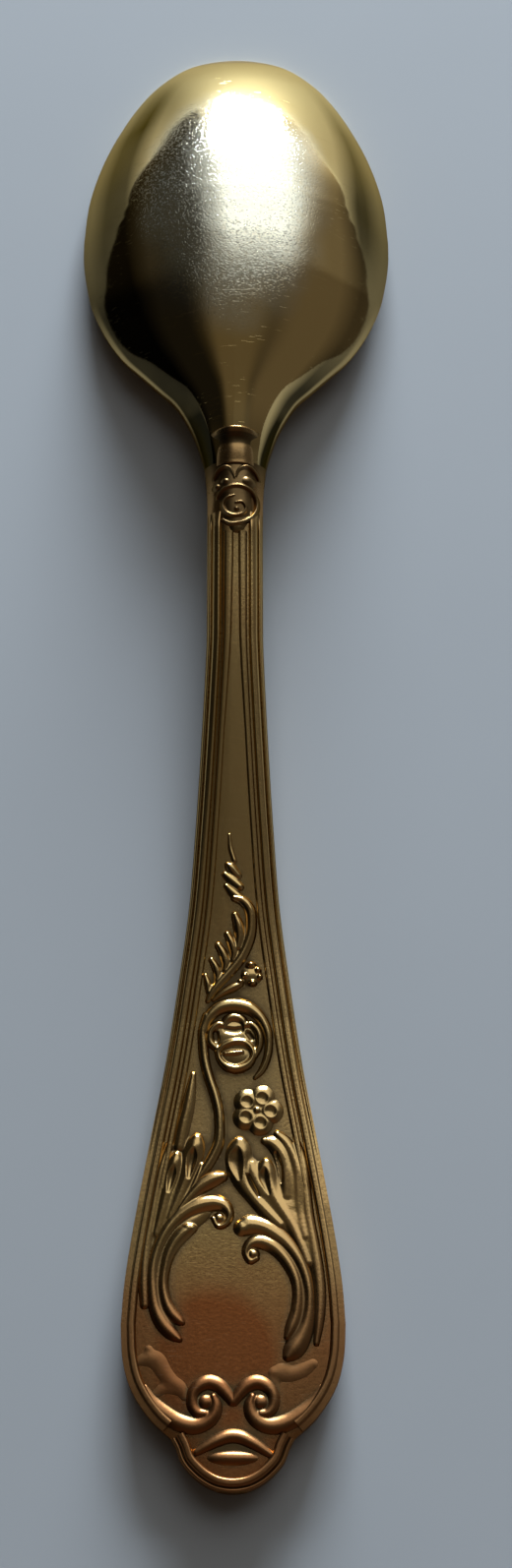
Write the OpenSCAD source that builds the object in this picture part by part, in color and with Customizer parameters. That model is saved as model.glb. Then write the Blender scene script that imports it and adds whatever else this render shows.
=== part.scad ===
// Teaspoon with a scrollwork handle, lying face down: bowl tip toward +Y, back of the spoon up.
// Distances written "along" run from the bowl tip to the handle end. Millimetres.

/* [Spoon] */
// Overall length, bowl tip to handle end
overall_len = 138; // [126:1:150]
// Length of the bowl, from its tip to the neck
bowl_len = 46.5; // [42:0.5:52]
// Greatest width of the bowl
bowl_w = 29; // [25:0.5:34]
// Distance from the bowl tip to its widest place
bowl_widest = 21.3; // [18:0.1:25]
// Height of the bowl's back above its rim
bowl_h = 9.3; // [7.5:0.1:11]
// Distance from the bowl tip to its highest place
bowl_highest = 20; // [17:0.5:23]
// Thickness of the bowl's wall
bowl_wall = 1; // [0.7:0.1:1.5]
// Width of the flat rim
rim_land = 0.9; // [0.6:0.1:1.3]
// Height of the rim's outer edge
rim_edge = 0.6; // [0.4:0.1:1]
// Height of the rim over the table at the neck
rim_rise = 2.8; // [2:0.1:4]
// Length of solid metal between the hollow and the neck
heel_solid = 2.9; // [2:0.1:5]

/* [Heel and crest] */
// Length of the raised drop on the back of the bowl
heel_len = 3.3; // [2.5:0.1:5]
// Width of the raised drop
heel_w = 3.8; // [3:0.1:4.4]
// Height of the raised drop
heel_h = 0.65; // [0.4:0.05:1]
// Length of the scrolled crest over the neck
crest_len = 6.5; // [5:0.1:9]
// Width of the crest
crest_w = 5; // [4.2:0.1:5.4]
// Height of the crest
crest_h = 0.6; // [0.4:0.05:0.9]

/* [Stem and handle] */
// Distance from the neck to where the bowl's shoulders end
neck_run = 3.5; // [2.5:0.1:5]
// Thickness at the neck
neck_t = 3.6; // [3:0.1:4.5]
// Least width of the stem
stem_w = 5.05; // [4.6:0.05:7]
// Greatest width of the handle
handle_w = 18.7; // [16:0.1:22]
// Length over which the handle widens from the stem
flare_run = 62; // [56:0.5:62]
// Thickness of the handle at its end
handle_t = 1.5; // [1.2:0.1:2.5]
// Distance from the handle's widest place to the notches
handle_run = 9.4; // [7:0.1:12]
// Width of the end lobe at the notches
lobe_w = 10.2; // [8:0.1:12]
// Length of the end lobe
lobe_len = 4.4; // [3.5:0.1:6]
// Distance from the handle end to where the handle touches the table
touch_run = 40; // [32:1:48]
// Rise of the handle end over the table
end_rise = 1.35; // [0.6:0.05:3]

/* [Mouldings] */
// Width of the edge thread
thread_w = 0.35; // [0.25:0.05:0.5]
// Width of the rounded band along each edge, with its thread
band_w = 1.25; // [0.9:0.05:1.5]
// Height of the band
band_h = 0.38; // [0.25:0.01:0.6]
// Gap between the band and the inner bead
bead_gap = 0.18; // [0.12:0.02:0.3]
// Width of the inner bead
bead_w = 0.6; // [0.4:0.05:0.8]
// Height of the inner bead
bead_h = 0.26; // [0.15:0.01:0.4]
// Width of the plain band on the front edges
front_band_w = 1; // [0.7:0.05:1.5]
// Height of the front bands and of the front scrollwork
front_band_h = 0.25; // [0.15:0.01:0.4]

/* [Scrollwork] */
// Length of handle that the scrollwork covers
pattern_len = 60; // [54:0.5:64]
// Width of one full stroke of scrollwork
stroke_w = 0.8; // [0.6:0.05:1]
// Height of one full stroke of scrollwork
relief_h = 0.5; // [0.3:0.05:0.7]

/* [Hidden] */
sink = 0.15;
nose = 0.05;
edge_round = 0.3;
gilt = [0.72, 0.60, 0.36];
worn_gilt = [0.66, 0.62, 0.54];
warm_gilt = [0.70, 0.48, 0.28];

neck_at = bowl_len;
shoulder_at = bowl_len + neck_run;
notch_at = overall_len - lobe_len;
widest_at = notch_at - handle_run;
flare_at = widest_at - flare_run;
touch_at = overall_len - touch_run;
plate_at = overall_len - pattern_len;
heel_start_share = 0.8;
side_count = 12;

// Outline, as shares of the half widths along each stretch
tip_square_shares = [[0, 0], [0.04, 0.1], [0.1, 0.2], [0.2, 0.354], [0.37, 0.554], [0.58, 0.793],
    [0.79, 0.941], [1, 1]];
shoulder_shares = [[0, 1], [0.08, 0.997], [0.16, 0.972], [0.26, 0.917], [0.37, 0.8], [0.455, 0.665],
    [0.52, 0.51], [0.575, 0.378], [0.62, 0.268], [0.675, 0.185], [0.74, 0.113], [0.81, 0.06],
    [0.86, 0.03], [0.93, 0.01], [1, 0]];
handle_shares = [[0, 0], [0.02, 0.002], [0.066, 0.018], [0.186, 0.072], [0.294, 0.13],
    [0.413, 0.21], [0.521, 0.335], [0.641, 0.495], [0.749, 0.675], [0.857, 0.85], [0.94, 0.96],
    [1, 1]];
end_shares = [[0, 1], [0.28, 0.963], [0.51, 0.843], [0.69, 0.64], [0.85, 0.37], [0.95, 0.13], [1, 0]];
lobe_square_shares = [[0, 1], [0.18, 0.84], [0.45, 0.68], [0.73, 0.37], [0.93, 0.11], [1, 0]];

// Heights, as shares of the bowl's height, the neck's thickness and the rises
rising_shares = [[0, 0], [0.05, 0.115], [0.15, 0.3], [0.25, 0.46], [0.375, 0.63], [0.5, 0.77],
    [0.65, 0.885], [0.8, 0.965], [1, 1]];
falling_shares = [[0, 1], [0.08, 0.99], [0.19, 0.947], [0.38, 0.77], [0.57, 0.504], [0.68, 0.345],
    [0.79, 0.195], [0.89, 0.09], [1, 0]];
hollow_shares = [[0, 0], [0.03, 0.16], [0.08, 0.36], [0.16, 0.59], [0.25, 0.81], [0.34, 0.94],
    [0.42, 1], [0.53, 0.97], [0.64, 0.82], [0.74, 0.62], [0.82, 0.43], [0.89, 0.24], [0.95, 0.08],
    [1, 0]];
thickness_shares = [[0, 1], [0.04, 0.8], [0.09, 0.65], [0.2, 0.55], [0.31, 0.45], [0.42, 0.33],
    [0.53, 0.21], [0.64, 0.12], [0.75, 0.07], [0.86, 0.03], [1, 0]];
side_shares = [[0, 0.5], [0.08, 0.6], [0.3, 0.72], [0.53, 0.82], [1, 0.86]];
stem_rise_shares = [[0, 1], [0.07, 1.08], [0.16, 1.03], [0.36, 0.77], [0.55, 0.45], [0.75, 0.14],
    [0.87, 0.03], [1, 0]];
end_rise_shares = [[0, 0], [0.17, 0.05], [0.42, 0.25], [0.67, 0.55], [1, 1]];
bowl_power_share = 2.2;
stem_power_share = 2.6;

// Smooth curve through a table of [place, value]
function span(t, tab, i = 0) = i >= len(tab) - 2 || t <= tab[i + 1][0] ? i : span(t, tab, i + 1);
function slope(tab, i) =
    let (a = max(0, i - 1), b = min(len(tab) - 1, i + 1))
    (tab[b][1] - tab[a][1]) / (tab[b][0] - tab[a][0]);
function curve(t, tab) =
    let (c = min(max(t, tab[0][0]), tab[len(tab) - 1][0]), i = span(c, tab), a = tab[i],
        b = tab[i + 1], d = b[0] - a[0], s = (c - a[0]) / d)
    a[1] * (1 + 2 * s) * (1 - s) * (1 - s) + slope(tab, i) * d * s * (1 - s) * (1 - s)
        + b[1] * s * s * (3 - 2 * s) - slope(tab, i + 1) * d * s * s * (1 - s);

// Half width of the outline
function half_w(u) =
    u < bowl_widest ? bowl_w / 2 * sqrt(max(0, curve(max(u, nose) / bowl_widest, tip_square_shares)))
    : u < shoulder_at ? stem_w / 2 + (bowl_w - stem_w) / 2
        * curve((u - bowl_widest) / (shoulder_at - bowl_widest), shoulder_shares)
    : u < widest_at ? stem_w / 2 + (handle_w - stem_w) / 2
        * curve((u - flare_at) / flare_run, handle_shares)
    : u < notch_at ? lobe_w / 2 + (handle_w - lobe_w) / 2
        * curve((u - widest_at) / handle_run, end_shares)
    : lobe_w / 2 * sqrt(max(0, curve((min(u, overall_len - nose) - notch_at) / lobe_len,
        lobe_square_shares)));

// Height of the underside, of the crown over it and of the side wall
function rim(u) = rim_rise * u / bowl_len;
function base(u) =
    u < neck_at ? rim(u)
    : u < touch_at ? front_band_h + (rim_rise - front_band_h)
        * curve((u - neck_at) / (touch_at - neck_at), stem_rise_shares)
    : front_band_h + end_rise * curve((u - touch_at) / touch_run, end_rise_shares);
function crown(u) =
    u < bowl_highest ? rim_edge + (bowl_h - rim_edge) * curve(u / bowl_highest, rising_shares)
    : u < neck_at ? neck_t + (bowl_h - neck_t)
        * curve((u - bowl_highest) / (neck_at - bowl_highest), falling_shares)
    : handle_t + (neck_t - handle_t)
        * curve((u - neck_at) / (overall_len - neck_at), thickness_shares);
function neck_share(u) =
    let (s = min(1, max(0, (u - bowl_widest) / (neck_at - bowl_widest))))
    pow(s, 4);
function side(u) =
    u < neck_at ? rim_edge + (neck_t * side_shares[0][1] - rim_edge) * neck_share(u)
    : crown(u) * curve((u - neck_at) / (overall_len - neck_at), side_shares);
function power(u) = bowl_power_share + (stem_power_share - bowl_power_share) * neck_share(u);

// Height of the back and of the hollow at a place
function back_z(x, u) =
    let (v = min(1, abs(x) / half_w(u)))
    base(u) + side(u) + (crown(u) - side(u)) * (1 - pow(v, power(u)));
function front_z(x, u) = base(u);
function hollow_along(t) =
    let (full = bowl_len - rim_land, late = max(0, t - heel_start_share))
    rim_land + t * full - late * heel_solid / (1 - heel_start_share);
function hollow_z(v, t) =
    rim(hollow_along(t)) + (bowl_h - bowl_wall) * curve(t, hollow_shares)
        * (1 - pow(abs(v), bowl_power_share));
function spot(x, u, z) = [x, overall_len / 2 - u, z];

// Places across a section, closer together near the edges
across_shares = [for (i = [-side_count : side_count]) sin(90 * i / side_count)];
few_across_shares = [for (i = [-4 : 4]) sin(90 * i / 4)];

// Solid skinned over closed rings of equal count, its two ends capped, each by one flat face or,
// where the ring bends at point number "fold", by two
function fan(list) = [for (j = [1 : len(list) - 2]) [list[0], list[j], list[j + 1]]];
function cap(start, n, fold) = fold == 0 ? [[for (j = [0 : n - 1]) start + j]]
    : concat(fan([for (j = [0 : fold]) start + j]), fan([for (j = [fold : n]) start + j % n]));
module skin(rings, fold = 0) {
    n = len(rings[0]);
    m = len(rings);
    sides = [for (k = [0 : m - 2], j = [0 : n - 1])
        [k * n + j, (k + 1) * n + j, (k + 1) * n + (j + 1) % n, k * n + (j + 1) % n]];
    halves = concat([for (f = sides) [f[0], f[1], f[2]]], [for (f = sides) [f[0], f[2], f[3]]]);
    last = [for (f = cap((m - 1) * n, n, fold)) [for (k = [len(f) - 1 : -1 : 0]) f[k]]];
    polyhedron(points = [for (r = rings) each r], faces = concat(halves, cap(0, n, fold), last));
}

function bowl_ring(t) =
    let (u = t * bowl_len, w = half_w(u), inner_w = w * (1 - rim_land / bowl_w * 2),
        u_in = hollow_along(t))
    concat([spot(-w, u, rim(u))],
        [for (v = across_shares) spot(w * v, u, back_z(w * v, u))],
        [spot(w, u, rim(u))],
        [for (v = across_shares) spot(-inner_w * v, u_in, hollow_z(v, t))]);

module bowl() {
    station_shares = [0, 0.006, 0.02, 0.042, 0.07, 0.105, 0.145, 0.19, 0.235, 0.28, 0.325, 0.37,
        0.415, 0.46, 0.505, 0.55, 0.59, 0.63, 0.665, 0.7, 0.73, 0.755, 0.78, 0.805, 0.83, 0.855,
        0.88, 0.905, 0.93, 0.955, 0.98, 1];
    color(worn_gilt) skin([for (t = station_shares) bowl_ring(t)], fold = len(across_shares) + 1);
}

function body_ring(u) =
    let (w = half_w(u), z = base(u))
    concat([spot(-w + edge_round, u, z), spot(-w, u, z + edge_round)],
        [for (v = few_across_shares) spot(w * v, u, back_z(w * v, u))],
        [spot(w, u, z + edge_round), spot(w - edge_round, u, z)]);

function steps(a, b, n) = [for (i = [0 : n]) a + (b - a) * i / n];

module stem() {
    color(gilt) skin([for (u = steps(neck_at, plate_at, 14)) body_ring(u)]);
}

module handle_plate() {
    color(gilt) skin([for (u = concat(steps(plate_at, widest_at, 20),
        [for (t = [0.28, 0.51, 0.69, 0.85, 0.95, 1]) widest_at + handle_run * t])) body_ring(u)]);
}

module end_lobe() {
    lobe_shares = [0, 0.18, 0.36, 0.55, 0.73, 0.86, 0.95, 1];
    color(warm_gilt) skin([for (t = lobe_shares) body_ring(notch_at + lobe_len * t)]);
}

// Moulding swept along a path of [x, along], its profile given as [inset, height]
function unit_along(path, i) =
    let (a = path[max(0, i - 1)], b = path[min(len(path) - 1, i + 1)], d = b - a)
    d / norm(d);
function inset_place(path, i, s) =
    let (d = unit_along(path, i))
    [path[i][0] - d[1] * s, path[i][1] + d[0] * s];
function moulding_ring(path, i, profile, front) =
    [for (p = profile)
        let (q = inset_place(path, i, p[0]), x = q[0], u = min(q[1], overall_len - nose))
        spot(x, u, front ? front_z(x, u) - p[1] : back_z(x, u) + p[1])];
module moulding(path, profile, front = false) {
    rings = [for (i = [0 : len(path) - 1]) moulding_ring(path, i, profile, front)];
    skin(front ? [for (r = rings) [for (j = [len(r) - 1 : -1 : 0]) r[j]]] : rings);
}

// Edge of the outline on the right, from one place along to another
function edge_path(places) = [for (u = places) [half_w(u), u]];
function flip(profile) = [for (i = [len(profile) - 1 : -1 : 0]) [-profile[i][0], profile[i][1]]];

band_places = concat(steps(shoulder_at - neck_run / 2, widest_at, 34),
    [for (t = [0.28, 0.51, 0.69, 0.85, 0.94]) widest_at + handle_run * t]);
bead_end_share = 0.36;
crest_start_share = 0.05;
bead_places = steps(neck_at + crest_len * (1 + crest_start_share),
    touch_at + touch_run * bead_end_share, 28);
band_shares = [[0.03, 0.45], [0.12, 0.7], [0.24, 0.55], [0.3, 0.15], [0.38, 0.6], [0.6, 1],
    [0.85, 0.75], [0.97, 0.1]];
bead_shares = [[0, 0], [0.2, 0.8], [0.5, 1], [0.8, 0.8], [1, 0]];
front_shares = [[0.2, 0.2], [0.35, 0.85], [0.6, 1], [0.85, 0.8], [1, 0.1]];

function profile_of(shares, start, w, h) =
    let (n = len(shares) - 1)
    concat([[start + shares[0][0] * w, -sink]], [for (s = shares) [start + s[0] * w, s[1] * h]],
        [[start + shares[n][0] * w, -sink]]);

back_profile = profile_of(band_shares, 0, band_w, band_h);
bead_profile = profile_of(bead_shares, band_w + bead_gap, bead_w, bead_h);
front_profile = profile_of(front_shares, 0, front_band_w + edge_round, front_band_h);

module mirrored(left) {
    if (left) mirror([1, 0, 0]) children();
    else children();
}

module back_band(left) {
    color(gilt) mirrored(left) moulding(edge_path(band_places), back_profile);
}

module back_bead(left) {
    color(gilt) mirrored(left) moulding(edge_path(bead_places), bead_profile);
}

module front_band(left) {
    color(gilt) mirrored(left) moulding(edge_path(band_places), front_profile, front = true);
}

// Outline of the end lobe, round from the right notch to the left one
lobe_turn_shares = [0.02, 0.18, 0.36, 0.55, 0.72, 0.85, 0.94, 0.99];
lobe_path = concat([for (t = lobe_turn_shares) [half_w(notch_at + lobe_len * t),
    notch_at + lobe_len * t]], [for (i = [len(lobe_turn_shares) - 1 : -1 : 0])
    let (u = notch_at + lobe_len * lobe_turn_shares[i]) [-half_w(u), u]]);

module back_lobe_band() {
    color(warm_gilt) moulding(lobe_path, back_profile);
}

module front_lobe_band() {
    color(warm_gilt) moulding(lobe_path, front_profile, front = true);
}

// Raised drop on the heel of the bowl: [place, half width, height], as shares
drop_shares = [[0, 1, 0.55], [0.2, 1, 0.5], [0.36, 0.98, 0.42], [0.52, 0.95, 0.4],
    [0.64, 0.92, 0.62], [0.76, 0.87, 0.88], [0.86, 0.78, 1], [0.93, 0.62, 0.95], [0.98, 0.42, 0.5],
    [1, 0.28, 0.1]];
drop_across_shares = [[-1, 0], [-0.93, 0.6], [-0.8, 0.95], [0, 1], [0.8, 0.95], [0.93, 0.6], [1, 0]];

function drop_ring(s) =
    let (u = neck_at - heel_len * s[0], w = heel_w / 2 * s[1])
    concat([spot(w, u, back_z(w, u) - sink), spot(-w, u, back_z(w, u) - sink)],
        [for (a = drop_across_shares) spot(w * a[0], u, back_z(w * a[0], u)
            + heel_h * s[2] * a[1])]);

module heel_drop() {
    color(gilt) skin([for (i = [len(drop_shares) - 1 : -1 : 0]) drop_ring(drop_shares[i])]);
}

// Strokes of relief: rows of [column, row, width, height], the first two in squares of a grid
// laid over the panel, the others as shares of the full stroke
across_stroke_shares = [[-0.5, 0], [-0.36, 0.7], [0, 1], [0.36, 0.7], [0.5, 0]];
lap_share = 0.25;

function stroke_end(tab, i, grid, w, h, front) =
    let (p = tab[i], a = tab[max(0, i - 1)], b = tab[min(len(tab) - 1, i + 1)],
        d = [(b[0] - a[0]) * grid[0], (b[1] - a[1]) * grid[1]], n = [d[1], -d[0]] / norm(d),
        x0 = p[0] * grid[0], u0 = grid[2] + p[1] * grid[1],
        ends = concat([[-0.5, -sink / h / p[3]]], across_stroke_shares, [[0.5, -sink / h / p[3]]]))
    [for (s = ends)
        let (x = x0 + n[0] * s[0] * w * p[2], u = u0 + n[1] * s[0] * w * p[2], z = s[1] * h * p[3])
        spot(front ? -x : x, u, front ? front_z(x, u) - z : back_z(x, u) + z)];

// Point inside the next length of a stroke, so that two lengths overlap where they meet
function stroke_lap(tab, i, grid, h, front) =
    let (p = tab[i], q = tab[min(len(tab) - 1, i + 1)], c = p + (q - p) * lap_share,
        x = c[0] * grid[0], u = grid[2] + c[1] * grid[1], z = c[3] * h * lap_share)
    spot(front ? -x : x, u, front ? front_z(x, u) - z : back_z(x, u) + z);

module stroke(tab, grid, w, h, front = false) {
    for (i = [0 : len(tab) - 2]) hull() {
        a = stroke_end(tab, i, grid, w, h, front);
        b = stroke_end(tab, i + 1, grid, w, h, front);
        n = len(a);
        polyhedron(points = concat(a, b, [stroke_lap(tab, i + 1, grid, h, front)]),
            faces = [[for (j = [0 : n - 1]) j], [for (j = [n : 2 * n]) j]]);
    }
}

// Rounded boss: [column, row, half width, half length, height]
module boss(p, grid, h, front = false) {
    sides = 9;
    x0 = p[0] * grid[0];
    u0 = grid[2] + p[1] * grid[1];
    levels = [[1, -sink / h / p[4]], [1, 0], [0.72, 0.75], [0.3, 1]];
    points = [for (l = levels, k = [0 : sides - 1])
        let (x = x0 + cos(k * 360 / sides) * l[0] * p[2] * grid[0],
            u = u0 + sin(k * 360 / sides) * l[0] * p[3] * grid[1], z = l[1] * h * p[4])
        spot(front ? -x : x, u, front ? front_z(x, u) - z : back_z(x, u) + z)];
    hull() polyhedron(points = points,
        faces = [for (l = [0 : len(levels) - 1]) [for (k = [0 : sides - 1]) l * sides + k]]);
}

module relief(strokes, bosses, front = false) {
    for (s = strokes) stroke(s, pattern_grid, stroke_w, relief_height(front), front);
    for (b = bosses) boss(b, pattern_grid, relief_height(front), front);
}
function relief_height(front) = front ? front_band_h : relief_h;

// The crest over the neck, on a grid of ten columns and thirteen rows
crest_columns = 10;
crest_rows = 13;
crest_grid = [crest_w / crest_columns, crest_len / crest_rows, neck_at + crest_len * crest_start_share];
crest_shares = [
    [[0, 1, 5, 0.3], [0, 3, 8.4, 0.35], [0, 6, 7, 0.35], [0.4, 9, 6, 0.35], [0.4, 12, 3, 0.3]],
    [[-4, 3, 0.7, 0.6], [-3.5, 1.7, 0.8, 0.8], [-2.4, 0.9, 0.8, 0.9], [-1.2, 1, 0.8, 0.9],
        [-0.4, 2, 0.8, 0.8], [0, 3.6, 0.7, 0.7]],
    [[0.2, 3.4, 0.7, 0.7], [0.5, 1.7, 0.8, 0.8], [1.5, 0.8, 0.8, 0.9], [2.6, 0.8, 0.8, 0.9],
        [3.6, 1.7, 0.8, 0.8], [4.1, 3, 0.7, 0.6]],
    [[-3.2, 5.8, 0.6, 0.6], [-1.8, 4.8, 0.8, 0.9], [0, 4.3, 0.8, 1], [1.8, 4.4, 0.8, 1],
        [3.2, 5, 0.8, 0.8], [4, 6.2, 0.6, 0.6]],
    [[3.7, 7, 0.7, 0.8], [3.4, 9.4, 0.7, 0.9], [2.4, 11.4, 0.7, 0.9], [0.6, 12.4, 0.7, 0.9],
        [-1.4, 11.6, 0.7, 0.9], [-2.4, 10, 0.7, 1], [-2.2, 8, 0.7, 1], [-1, 6.6, 0.7, 1],
        [0.6, 6.2, 0.7, 1], [1.8, 7, 0.6, 1], [2.2, 8.4, 0.6, 1], [1.8, 9.8, 0.6, 1],
        [0.6, 10.4, 0.6, 1]]];
crest_boss_shares = [[-3, 3.6, 0.8, 0.8, 0.7], [-1.6, 3.2, 0.8, 0.8, 0.7], [1.3, 2.8, 0.7, 0.8, 0.7],
    [2.8, 3, 0.8, 0.8, 0.7], [0.3, 8.6, 0.9, 0.9, 1.1]];

module neck_crest() {
    color(gilt) {
        for (s = crest_shares) stroke(s, crest_grid, stroke_w / 2, crest_h);
        for (b = crest_boss_shares) boss(b, crest_grid, crest_h);
    }
}

// The handle's scrollwork, on a grid of eighteen columns and sixty rows inside the edge threads
pattern_columns = 18;
pattern_rows = 60;
pattern_grid = [(handle_w - 2 * thread_w) / pattern_columns, pattern_len / pattern_rows, plate_at];

tendril_shares = [
    [[-0.4, 3.2, 0.3, 0.4], [-0.45, 4.4, 0.4, 0.5], [-0.2, 5.7, 0.6, 0.6], [0.4, 7, 1, 0.8]],
    [[-0.7, 6.2, 0.5, 0.6], [-0.1, 6.8, 0.8, 0.8], [0.7, 7.6, 0.5, 0.6]],
    [[-0.8, 7.3, 0.5, 0.6], [0, 7.9, 0.8, 0.8], [0.8, 8.6, 0.5, 0.6]],
    [[0.2, 6.8, 0.9, 0.5], [0.3, 8.9, 1, 0.5]]];

spray_shares = [
    [[-0.2, 9, 0.5, 0.7], [0.6, 9.3, 0.8, 0.9], [1.3, 9.9, 0.9, 1], [1.6, 11, 1, 1],
        [1.55, 12.2, 1, 1], [1.2, 13.4, 1, 1], [0.6, 14.5, 1, 1], [-0.2, 15.6, 1, 1],
        [-1.1, 16.6, 1, 0.9], [-2, 17.6, 0.8, 0.8], [-2.4, 18.3, 0.4, 0.6]],
    [[0, 10.4, 0.5, 0.7], [0.35, 11.4, 0.9, 0.8], [0.7, 12.6, 0.9, 0.7], [0.9, 13.6, 0.6, 0.6]],
    [[-0.7, 12.1, 0.4, 0.6], [-0.3, 13, 0.8, 0.8], [0.3, 14.2, 0.8, 0.7]],
    [[-1.35, 13.2, 0.5, 0.6], [-0.95, 14.1, 0.8, 0.8], [-0.35, 15.3, 0.8, 0.7]],
    [[-1.95, 14.5, 0.4, 0.6], [-1.6, 15.3, 0.7, 0.8], [-1.2, 16.2, 0.7, 0.7]],
    [[-2.4, 15.9, 0.4, 0.5], [-2.2, 16.7, 0.6, 0.6], [-1.9, 17.3, 0.5, 0.6]]];

bud_shares = [[1.45, 15.15, 0.5, 0.4, 1], [2.1, 15.5, 0.35, 0.35, 0.9], [0.9, 15.95, 0.38, 0.35, 0.9],
    [2.15, 16.15, 0.33, 0.35, 0.8], [0.6, 16.6, 0.35, 0.35, 0.8], [1.6, 16.65, 0.45, 0.4, 0.9],
    [1.5, 16, 0.9, 0.9, 0.6]];
bud_leaf_shares = [
    [[0.7, 16.7, 0.5, 0.5], [-0.1, 17.1, 0.6, 0.6], [-0.9, 17.7, 0.4, 0.5]]];

ring_shares = [
    [[-2.75, 20.3, 0.8, 0.9], [-2.2, 19.3, 0.9, 1], [-1.2, 18.7, 1, 1], [0, 18.5, 1, 1],
        [1.2, 18.8, 1, 1], [2.2, 19.5, 0.9, 1], [2.85, 20.5, 0.8, 1], [3.05, 21.7, 0.7, 1],
        [2.85, 22.8, 0.6, 0.9], [2.4, 23.7, 0.5, 0.8]],
    [[-2.5, 19.8, 0.7, 0.8], [-2.95, 21.4, 0.8, 1], [-2.8, 22.8, 0.8, 1], [-2.35, 24.2, 0.8, 1],
        [-1.75, 25.7, 0.8, 1], [-1.35, 27.2, 0.8, 1], [-1.2, 28.7, 0.9, 1], [-1.3, 30.2, 1, 1],
        [-1.7, 31.7, 1.1, 0.9], [-2.5, 33, 1.1, 0.8], [-3.6, 34.4, 0.8, 0.7]]];

ring_petal_shares = [[0, 20, 0.75, 0.65, 1], [-1.45, 20.7, 0.7, 0.6, 0.9], [1.4, 20.7, 0.7, 0.6, 0.9],
    [0.1, 21.3, 1.6, 0.8, 0.6], [0.1, 23.2, 1.5, 1.2, 0.45], [0.05, 23.2, 0.8, 0.45, 1.1]];
ring_cup_shares = [
    [[-1.5, 22.8, 0.6, 0.8], [-0.9, 22.2, 0.7, 1], [0, 21.9, 0.7, 1.1], [0.9, 21.9, 0.7, 1],
        [1.6, 22.4, 0.6, 0.9], [1.75, 23.3, 0.6, 0.9], [1.2, 24.1, 0.7, 1], [0.3, 24.5, 0.8, 1],
        [-0.6, 24.2, 0.7, 0.9], [-1.3, 23.6, 0.6, 0.8], [-1.5, 22.8, 0.6, 0.8]]];

petal_count = 5;
petal_ring_shares = [2.05, 27.95, 1.02];
petal_reach_shares = [[1, 0.68, 1], [0.55, 0.5, 0.6]];
petal_shares = concat([for (k = [0 : petal_count - 1], r = petal_reach_shares)
    let (a = 90 + k * 360 / petal_count)
    [petal_ring_shares[0] + petal_ring_shares[2] * r[0] * cos(a),
    petal_ring_shares[1] - petal_ring_shares[2] * r[0] * sin(a), r[1], r[1], r[2]]],
    [[petal_ring_shares[0], petal_ring_shares[1], 0.55, 0.55, 1.2]]);

left_leaf_shares = [
    [[-3.45, 25.2, 0.3, 0.5], [-3.65, 26.4, 0.6, 0.7], [-3.95, 27.8, 0.7, 0.7],
        [-4.35, 29.4, 0.8, 0.7], [-4.8, 31, 0.9, 0.7]],
    [[-3.9, 31.2, 0.6, 0.8], [-3.6, 30.5, 0.8, 1], [-3.1, 30.3, 0.8, 1], [-2.75, 31, 0.8, 0.9],
        [-3, 32.2, 0.9, 0.8], [-3.5, 33.6, 1, 0.8], [-4.1, 35.2, 1, 0.7], [-4.8, 36.8, 0.9, 0.6]],
    [[-4.9, 31.5, 0.5, 0.8], [-4.55, 32.4, 0.8, 0.9], [-4.6, 33.6, 1, 0.8], [-4.9, 35, 1.1, 0.7],
        [-5.4, 36.6, 1.1, 0.7], [-6, 38.2, 0.9, 0.6]],
    [[-4.65, 30.6, 0.8, 0.6], [-5.25, 32.5, 1, 0.7], [-5.7, 34.4, 1, 0.7], [-6.1, 36.2, 1, 0.6],
        [-6.5, 38, 0.8, 0.6], [-6.8, 39.6, 0.6, 0.5]],
    [[-3.8, 31.6, 0.6, 0.7], [-4.1, 32.8, 0.9, 0.8], [-4.5, 34.2, 0.9, 0.7], [-5, 36, 0.9, 0.7]]];

right_leaf_shares = [
    [[0, 31.9, 0.5, 0.8], [0.1, 31, 0.7, 1], [0.65, 30.6, 0.8, 1], [1.15, 31.1, 0.7, 0.9],
        [1.2, 32.1, 0.8, 0.8]],
    [[0.1, 31.7, 0.5, 0.7], [0.3, 33.4, 0.9, 0.8], [0.9, 34.8, 1.1, 0.8], [1.8, 36, 1.1, 0.8],
        [2.9, 37.1, 1.1, 0.7], [4.1, 38.2, 1, 0.7], [5.3, 39.5, 0.8, 0.6]],
    [[1.5, 32.8, 0.7, 0.9], [1.8, 34, 1, 0.8], [2.5, 35.4, 1, 0.8], [3.5, 36.7, 1, 0.7],
        [4.6, 38, 0.9, 0.7]],
    [[2.9, 32.6, 0.7, 0.9], [3, 33.8, 1, 0.8], [3.5, 35.2, 1, 0.8], [4.3, 36.6, 1, 0.7],
        [5.2, 38.1, 0.9, 0.7]],
    [[2.5, 30.6, 0.6, 0.8], [3.3, 31.1, 0.9, 0.9], [4.1, 32.5, 0.9, 0.8], [4.7, 34.2, 0.9, 0.8],
        [5.2, 36, 0.9, 0.7], [5.7, 37.8, 0.8, 0.6]],
    [[3.6, 29.9, 0.6, 0.9], [4.3, 30.8, 0.9, 0.9], [5, 32.3, 0.9, 0.8], [5.5, 34.2, 0.9, 0.7],
        [5.9, 36.2, 0.9, 0.7], [6.3, 38.4, 0.8, 0.6], [6.7, 40.4, 0.5, 0.5]],
    [[1.1, 31.6, 0.7, 0.7], [1.6, 33.4, 0.8, 0.7]],
    [[2.6, 36.6, 0.8, 0.5], [4.4, 37.6, 1.4, 0.5], [5.4, 38.2, 1.2, 0.5], [6.2, 38.9, 0.7, 0.5]]];

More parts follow.
